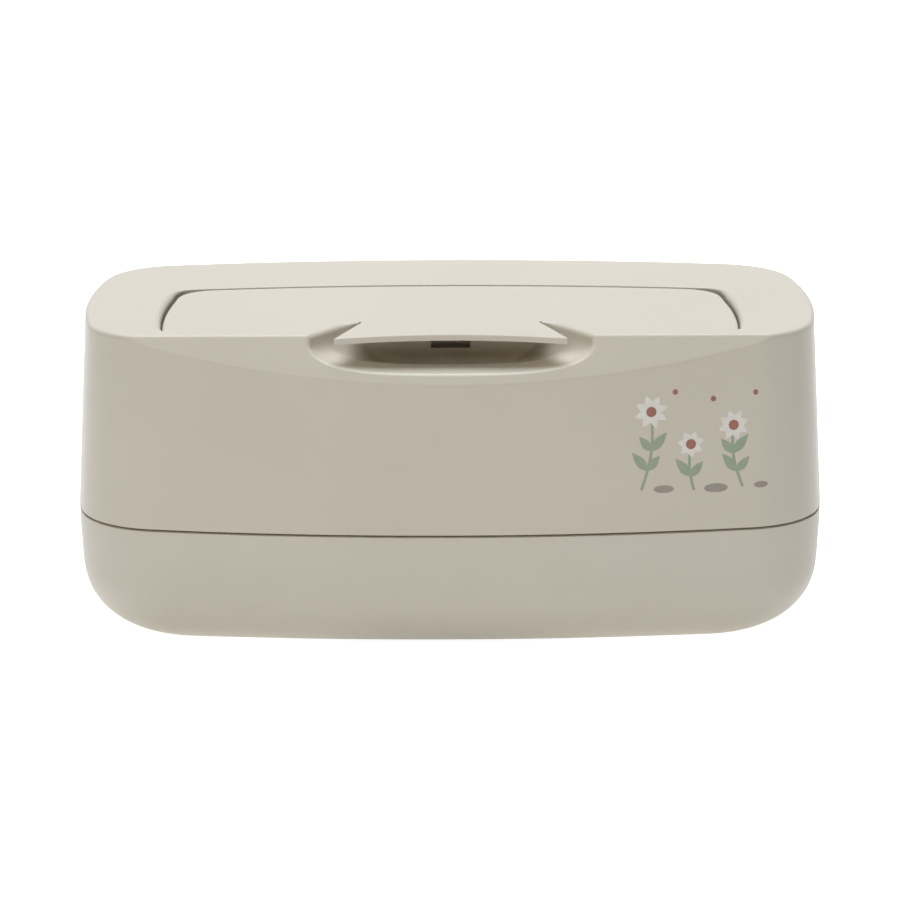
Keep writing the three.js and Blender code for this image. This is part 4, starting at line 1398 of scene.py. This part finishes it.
# Printed flowers on the right of the cover's front: plain daisies with leaves, pebbles under them and dots
# above. Places are distances along the box's outline from just left of its front middle, and heights. Each
# flower is its foot, its head, its stem's sway, its petals, their length, and where its leaves grow
motif = {
    "body": 0.05,
    "print": {"leaf": 0.03, "stone": 0.03, "petal": 0.04, "heart": 0.08},
    "layer": 0.004,  # prints that overlap lie this much above each other
    "stem": 0.45,
    "leafLength": 7.5,
    "leafHalf": 1.5,
    "leafTurn": radians(50),
    "farLeaf": (0.8, 0.9),  # the second leaf of a pair: its length and width as shares of the first's
    "flowers": [
        ((60.5, 55.5), (63.5, 80.0), 1.6, 8, 5.4, (0.25, 0.5)),
        ((77.0, 55.0), (76.0, 69.5), -0.9, 7, 4.3, (0.3,)),
        ((92.5, 55.5), (89.5, 75.0), -1.5, 8, 4.9, (0.28, 0.55)),
    ],
    "petalHalf": 1.35,
    "firstPetal": 0.3,
    "heart": 1.6,
    "bladePower": 0.8,
    "leastHalf": 0.04,
    "stones": [(67.5, 55.6, 3.2, 1.2), (84.0, 55.4, 3.8, 1.4), (98.5, 55.8, 2.4, 1.0)],
    "dots": [(71.0, 86.0, 0.85), (83.0, 83.5, 0.85), (96.5, 85.0, 0.85)],
}
frontRight = np.arange(-len(boxOutline) // 4 - 2, -1)
frontLine = boxOutline[frontRight]
frontNormals = boxNormals[frontRight]
frontLength = lengthAlong(frontLine)


# A place on the cover's front: the outline's point at that length, drawn in with the wall's draft at that
# height, and moved out a little
def onFront(along, height, out):
    line = [np.interp(along, frontLength, frontLine[:, k]) for k in (0, 1)]
    normal = [np.interp(along, frontLength, frontNormals[:, k]) for k in (0, 1)]
    inset = drawIn(height) - out
    return np.stack([line[0] - inset * normal[0], line[1] - inset * normal[1], height], axis=-1)


# A printed shape as a thin solid let into the wall: a middle line with a half-width at each point, carried
# across by a share from one edge to the other, and closed under the surface
def printedShape(line, halfWidths, out, across=5):
    way = unit(np.gradient(line, axis=0))
    side = np.column_stack([-way[:, 1], way[:, 0]])
    reach = np.maximum(halfWidths, motif["leastHalf"])[:, None] * np.linspace(-1, 1, across)
    places = line[:, None] + reach[..., None] * side[:, None]
    top, under = [onFront(places[..., 0], places[..., 1], level) for level in (out, -motif["body"])]
    return np.concatenate([top, under[:, ::-1]], axis=1)


def printPiece(name, shapes):
    points, faces = [], []
    for rings in shapes:
        start = sum(len(block) for block in points)
        faces += [[start + corner for corner in face] for face in stackFaces(rings)]
        points.append(rings.reshape(-1, 3))
    return faceOutwards(meshPiece(name, np.concatenate(points), faces))


# An ellipse: the half-height is halfZ times the square root of one minus the square of the share across
def spot(x, z, halfX, halfZ, out):
    share = np.linspace(-1, 1, 25)
    line = np.column_stack([x + halfX * share, np.full(25, z)])
    return printedShape(line, halfZ * np.sqrt(1 - share**2), out, 7)


# A petal or leaf, fullest a little before its middle: its half-width is half times the sine of pi times the
# share of its length to a power
def blade(start, turn, length, half, out):
    share = np.linspace(0, 1, 17)
    line = start + length * share[:, None] * [np.cos(turn), np.sin(turn)]
    return printedShape(line, half * np.sin(pi * share ** motif["bladePower"]), out)


def makeFlowers(size):
    made = {kind: [] for kind in size["print"]}
    out, layer = size["print"], size["layer"]
    farLength, farHalf = size["farLeaf"]
    share = np.linspace(0, 1, 21)[:, None]
    for start, head, sway, petals, length, leaves in size["flowers"]:
        stem = start + np.subtract(head, start) * share + [sway, 0] * np.sin(pi * share)
        made["leaf"].append(printedShape(stem, np.full(len(stem), size["stem"]), out["leaf"], 3))
        for k, at in enumerate(leaves):
            root = stem[int(at * (len(stem) - 1))]
            turn = size["leafTurn"] if k % 2 else pi - size["leafTurn"]
            long, half = size["leafLength"], size["leafHalf"]
            made["leaf"] += [
                blade(root, turn, long, half, out["leaf"] + layer),
                blade(root, pi - turn, farLength * long, farHalf * half, out["leaf"] + 2 * layer),
            ]
        for k in range(petals):
            turn = size["firstPetal"] + 2 * pi * k / petals
            made["petal"].append(blade(head, turn, length, size["petalHalf"], out["petal"] + k * layer))
        made["heart"].append(spot(*head, size["heart"], size["heart"], out["heart"]))
    made["heart"] += [spot(x, z, radius, radius, out["heart"]) for x, z, radius in size["dots"]]
    made["stone"] += [spot(*stone, out["stone"]) for stone in size["stones"]]
    return made


# Pad-printed ink: a film a few hundredths of a millimetre thick, satin, opaque, with fine pinholes and a
# slightly cloudy tone where the pad has pressed
ink = {
    "flow": 2.5,
    "grain": 0.35,
    "grainHeight": 0.006,
    "roughness": 0.5,
    "unevenness": 0.06,
    "wave": 0.1,
    "texture": 0.3,
    "ior": 1.5,
}
inkColours = {
    "leaf": {"tone": "#A3AE97", "shade": "#9BA790"},
    "stone": {"tone": "#A69C90", "shade": "#9C9287"},
    "petal": {"tone": "#EFEBE3", "shade": "#E8E3DA"},
    "heart": {"tone": "#A5705F", "shade": "#986555"},
}
for name, shapes in makeFlowers(motif).items():
    colouredInk = mouldedMaterial("padPrintedInk" + name.capitalize(), {**ink, **inkColours[name]})
    finishPiece(printPiece(name + "Print", shapes), "cover", colouredInk)

finishPiece(makeTray(tray), "tray", trayPolypropylene, ["base_tray"])
finishPiece(makeSplitSeal(splitSeal), "tray", silicone, ["split_seal"])
for name, x, y in footPlaces:
    finishPiece(makeFoot(foot, x, y), "tray", footRubber, [name])
finishPiece(makeCover(cover), "cover", satinPolypropylene, ["upper_shell"])
for side, name in ((-1, "hinge_pin_left"), (1, "hinge_pin_right")):
    finishPiece(makePin(hinge, side * hinge["middle"]), "cover", groundSteel, [name])
finishPiece(makeLid(lid), "flap", satinPolypropylene, ["lid"])
finishPiece(makeLidSeal(lid), "flap", silicone, ["lid_seal"])
finishPiece(makePlate(plate), "plate", plainPolypropylene, ["press_plate"])
finishPiece(makePlateCover(plate), "plate", plainPolypropylene, ["press_plate_cover"])
for side, name in ((-1, "weight_left"), (1, "weight_right")):
    finishPiece(makeWeight(plate, side), "plate", zincPlatedSteel, [name])


# Room, in metres: a pale floor that shows white and keeps the shadow, panels of light over and in front of
# the box, and a white surround. Floor and surround are bright only where they are seen, straight, in a
# reflection or through something. The floor also gives a little light of its own to the box, but none in
# the box's near shade, whose reach is in millimetres from the middle
room = {
    "floorSize": 8.0,
    "floorGlow": 0.91,
    "floorBounce": 0.2,
    "bounceReach": (52, 72),
    "floorShade": "#F6F6F6",
    "worldLight": 0.02,
    "worldColour": "#FFFFFF",
    "aim": (0, 0, 0.05),
    "panels": {
        "overhead": {"place": (0, 0, 2.6), "size": (3.0, 3.0), "power": 8.0, "colour": "#F8FAFF"},
        "overheadBehind": {"place": (0, 0.6, 1.7), "size": (1.2, 1.2), "power": 27.0, "colour": "#F4F8FF"},
        "front": {"place": (-0.45, -1.32, 1.12), "size": (1.2, 0.55), "power": 8.6, "colour": "#FFFCF6"},
    },
}


# One where a ray comes from the camera, a reflection or through something, and nought elsewhere
def isSeen(tree):
    rays = addNode(tree, "ShaderNodeLightPath").outputs
    seen = rays["Is Camera Ray"]
    for ray in ("Is Glossy Ray", "Is Transmission Ray"):
        seen = addNode(tree, "ShaderNodeMath", {}, {0: seen, 1: rays[ray]}, operation="MAXIMUM").outputs[0]
    return seen


def makeFloor(size):
    half = size["floorSize"] / 2 / millimetre
    corners = [(-half, -half, 0), (half, -half, 0), (half, half, 0), (-half, half, 0)]
    floor = meshPiece("floor", corners, [[0, 1, 2, 3]])
    material, tree = emptyMaterial("paleFloor")
    matt = addNode(tree, "ShaderNodeBsdfDiffuse", {"Color": linearColour(size["floorShade"])})
    place = addNode(tree, "ShaderNodeTexCoord").outputs["Object"]
    away = addNode(tree, "ShaderNodeVectorMath", {}, {0: place}, operation="LENGTH").outputs["Value"]
    near, far = np.array(size["bounceReach"]) * millimetre
    bounce = addNode(tree, "ShaderNodeMapRange",
                     {"From Min": near, "From Max": far, "To Max": size["floorBounce"]}, {"Value": away})
    strength = addNode(tree, "ShaderNodeMapRange", {"To Max": size["floorGlow"]},
                       {"Value": isSeen(tree), "To Min": bounce.outputs["Result"]})
    glow = addNode(tree, "ShaderNodeEmission", {}, {"Strength": strength.outputs[0]})
    both = addNode(tree, "ShaderNodeAddShader", {}, {0: matt.outputs[0], 1: glow.outputs[0]})
    addNode(tree, "ShaderNodeOutputMaterial", {}, {"Surface": both.outputs[0]})
    floor.data.materials.append(material)


# Puts a lamp or the camera at a place, facing another
def placeFacing(made, place, aim):
    made.location = place
    made.rotation_euler = (Vector(aim) - made.location).to_track_quat("-Z", "Y").to_euler()
    bpy.context.scene.collection.objects.link(made)


def lightRoom(size):
    world = bpy.data.worlds.new("surround")
    world.use_nodes = True
    tree = world.node_tree
    tree.nodes.clear()
    strength = addNode(tree, "ShaderNodeMapRange", {"To Min": size["worldLight"], "To Max": 1.0},
                       {"Value": isSeen(tree)})
    sky = addNode(tree, "ShaderNodeBackground", {"Color": linearColour(size["worldColour"])},
                  {"Strength": strength.outputs[0]})
    addNode(tree, "ShaderNodeOutputWorld", {}, {"Surface": sky.outputs[0]})
    bpy.context.scene.world = world
    for name, panel in size["panels"].items():
        lamp = bpy.data.lights.new(name, "AREA")
        lamp.shape = "RECTANGLE"
        lamp.size, lamp.size_y = panel["size"]
        lamp.energy = panel["power"]
        lamp.color = linearColour(panel["colour"])[:3]
        placeFacing(bpy.data.objects.new(name, lamp), panel["place"], size["aim"])
    print("lit the room with", len(size["panels"]), "panels")


# Camera, in metres: a little left of the middle, looking down a little from the front, with a hair of roll
view = {
    "place": (-0.00826, -1.03245, 0.3374),
    "aim": (0, 0, 0.0558),
    "sensor": 36,
    "lens": 131.34,
    "roll": -0.0012,
    "shiftX": 0.00032,
    "shiftY": -0.01264,
    "nearest": 0.01,
}


def placeCamera(size):
    camera = bpy.data.objects.new("camera", bpy.data.cameras.new("camera"))
    placeFacing(camera, size["place"], size["aim"])
    camera.rotation_euler.rotate_axis("Z", size["roll"])
    camera.data.sensor_width = size["sensor"]
    camera.data.lens = size["lens"]
    camera.data.shift_x = size["shiftX"]
    camera.data.shift_y = size["shiftY"]
    camera.data.clip_start = size["nearest"]
    bpy.context.scene.camera = camera


makeFloor(room)
lightRoom(room)
placeCamera(view)
bpy.context.scene.view_settings.view_transform = "Standard"
print("placed the camera")
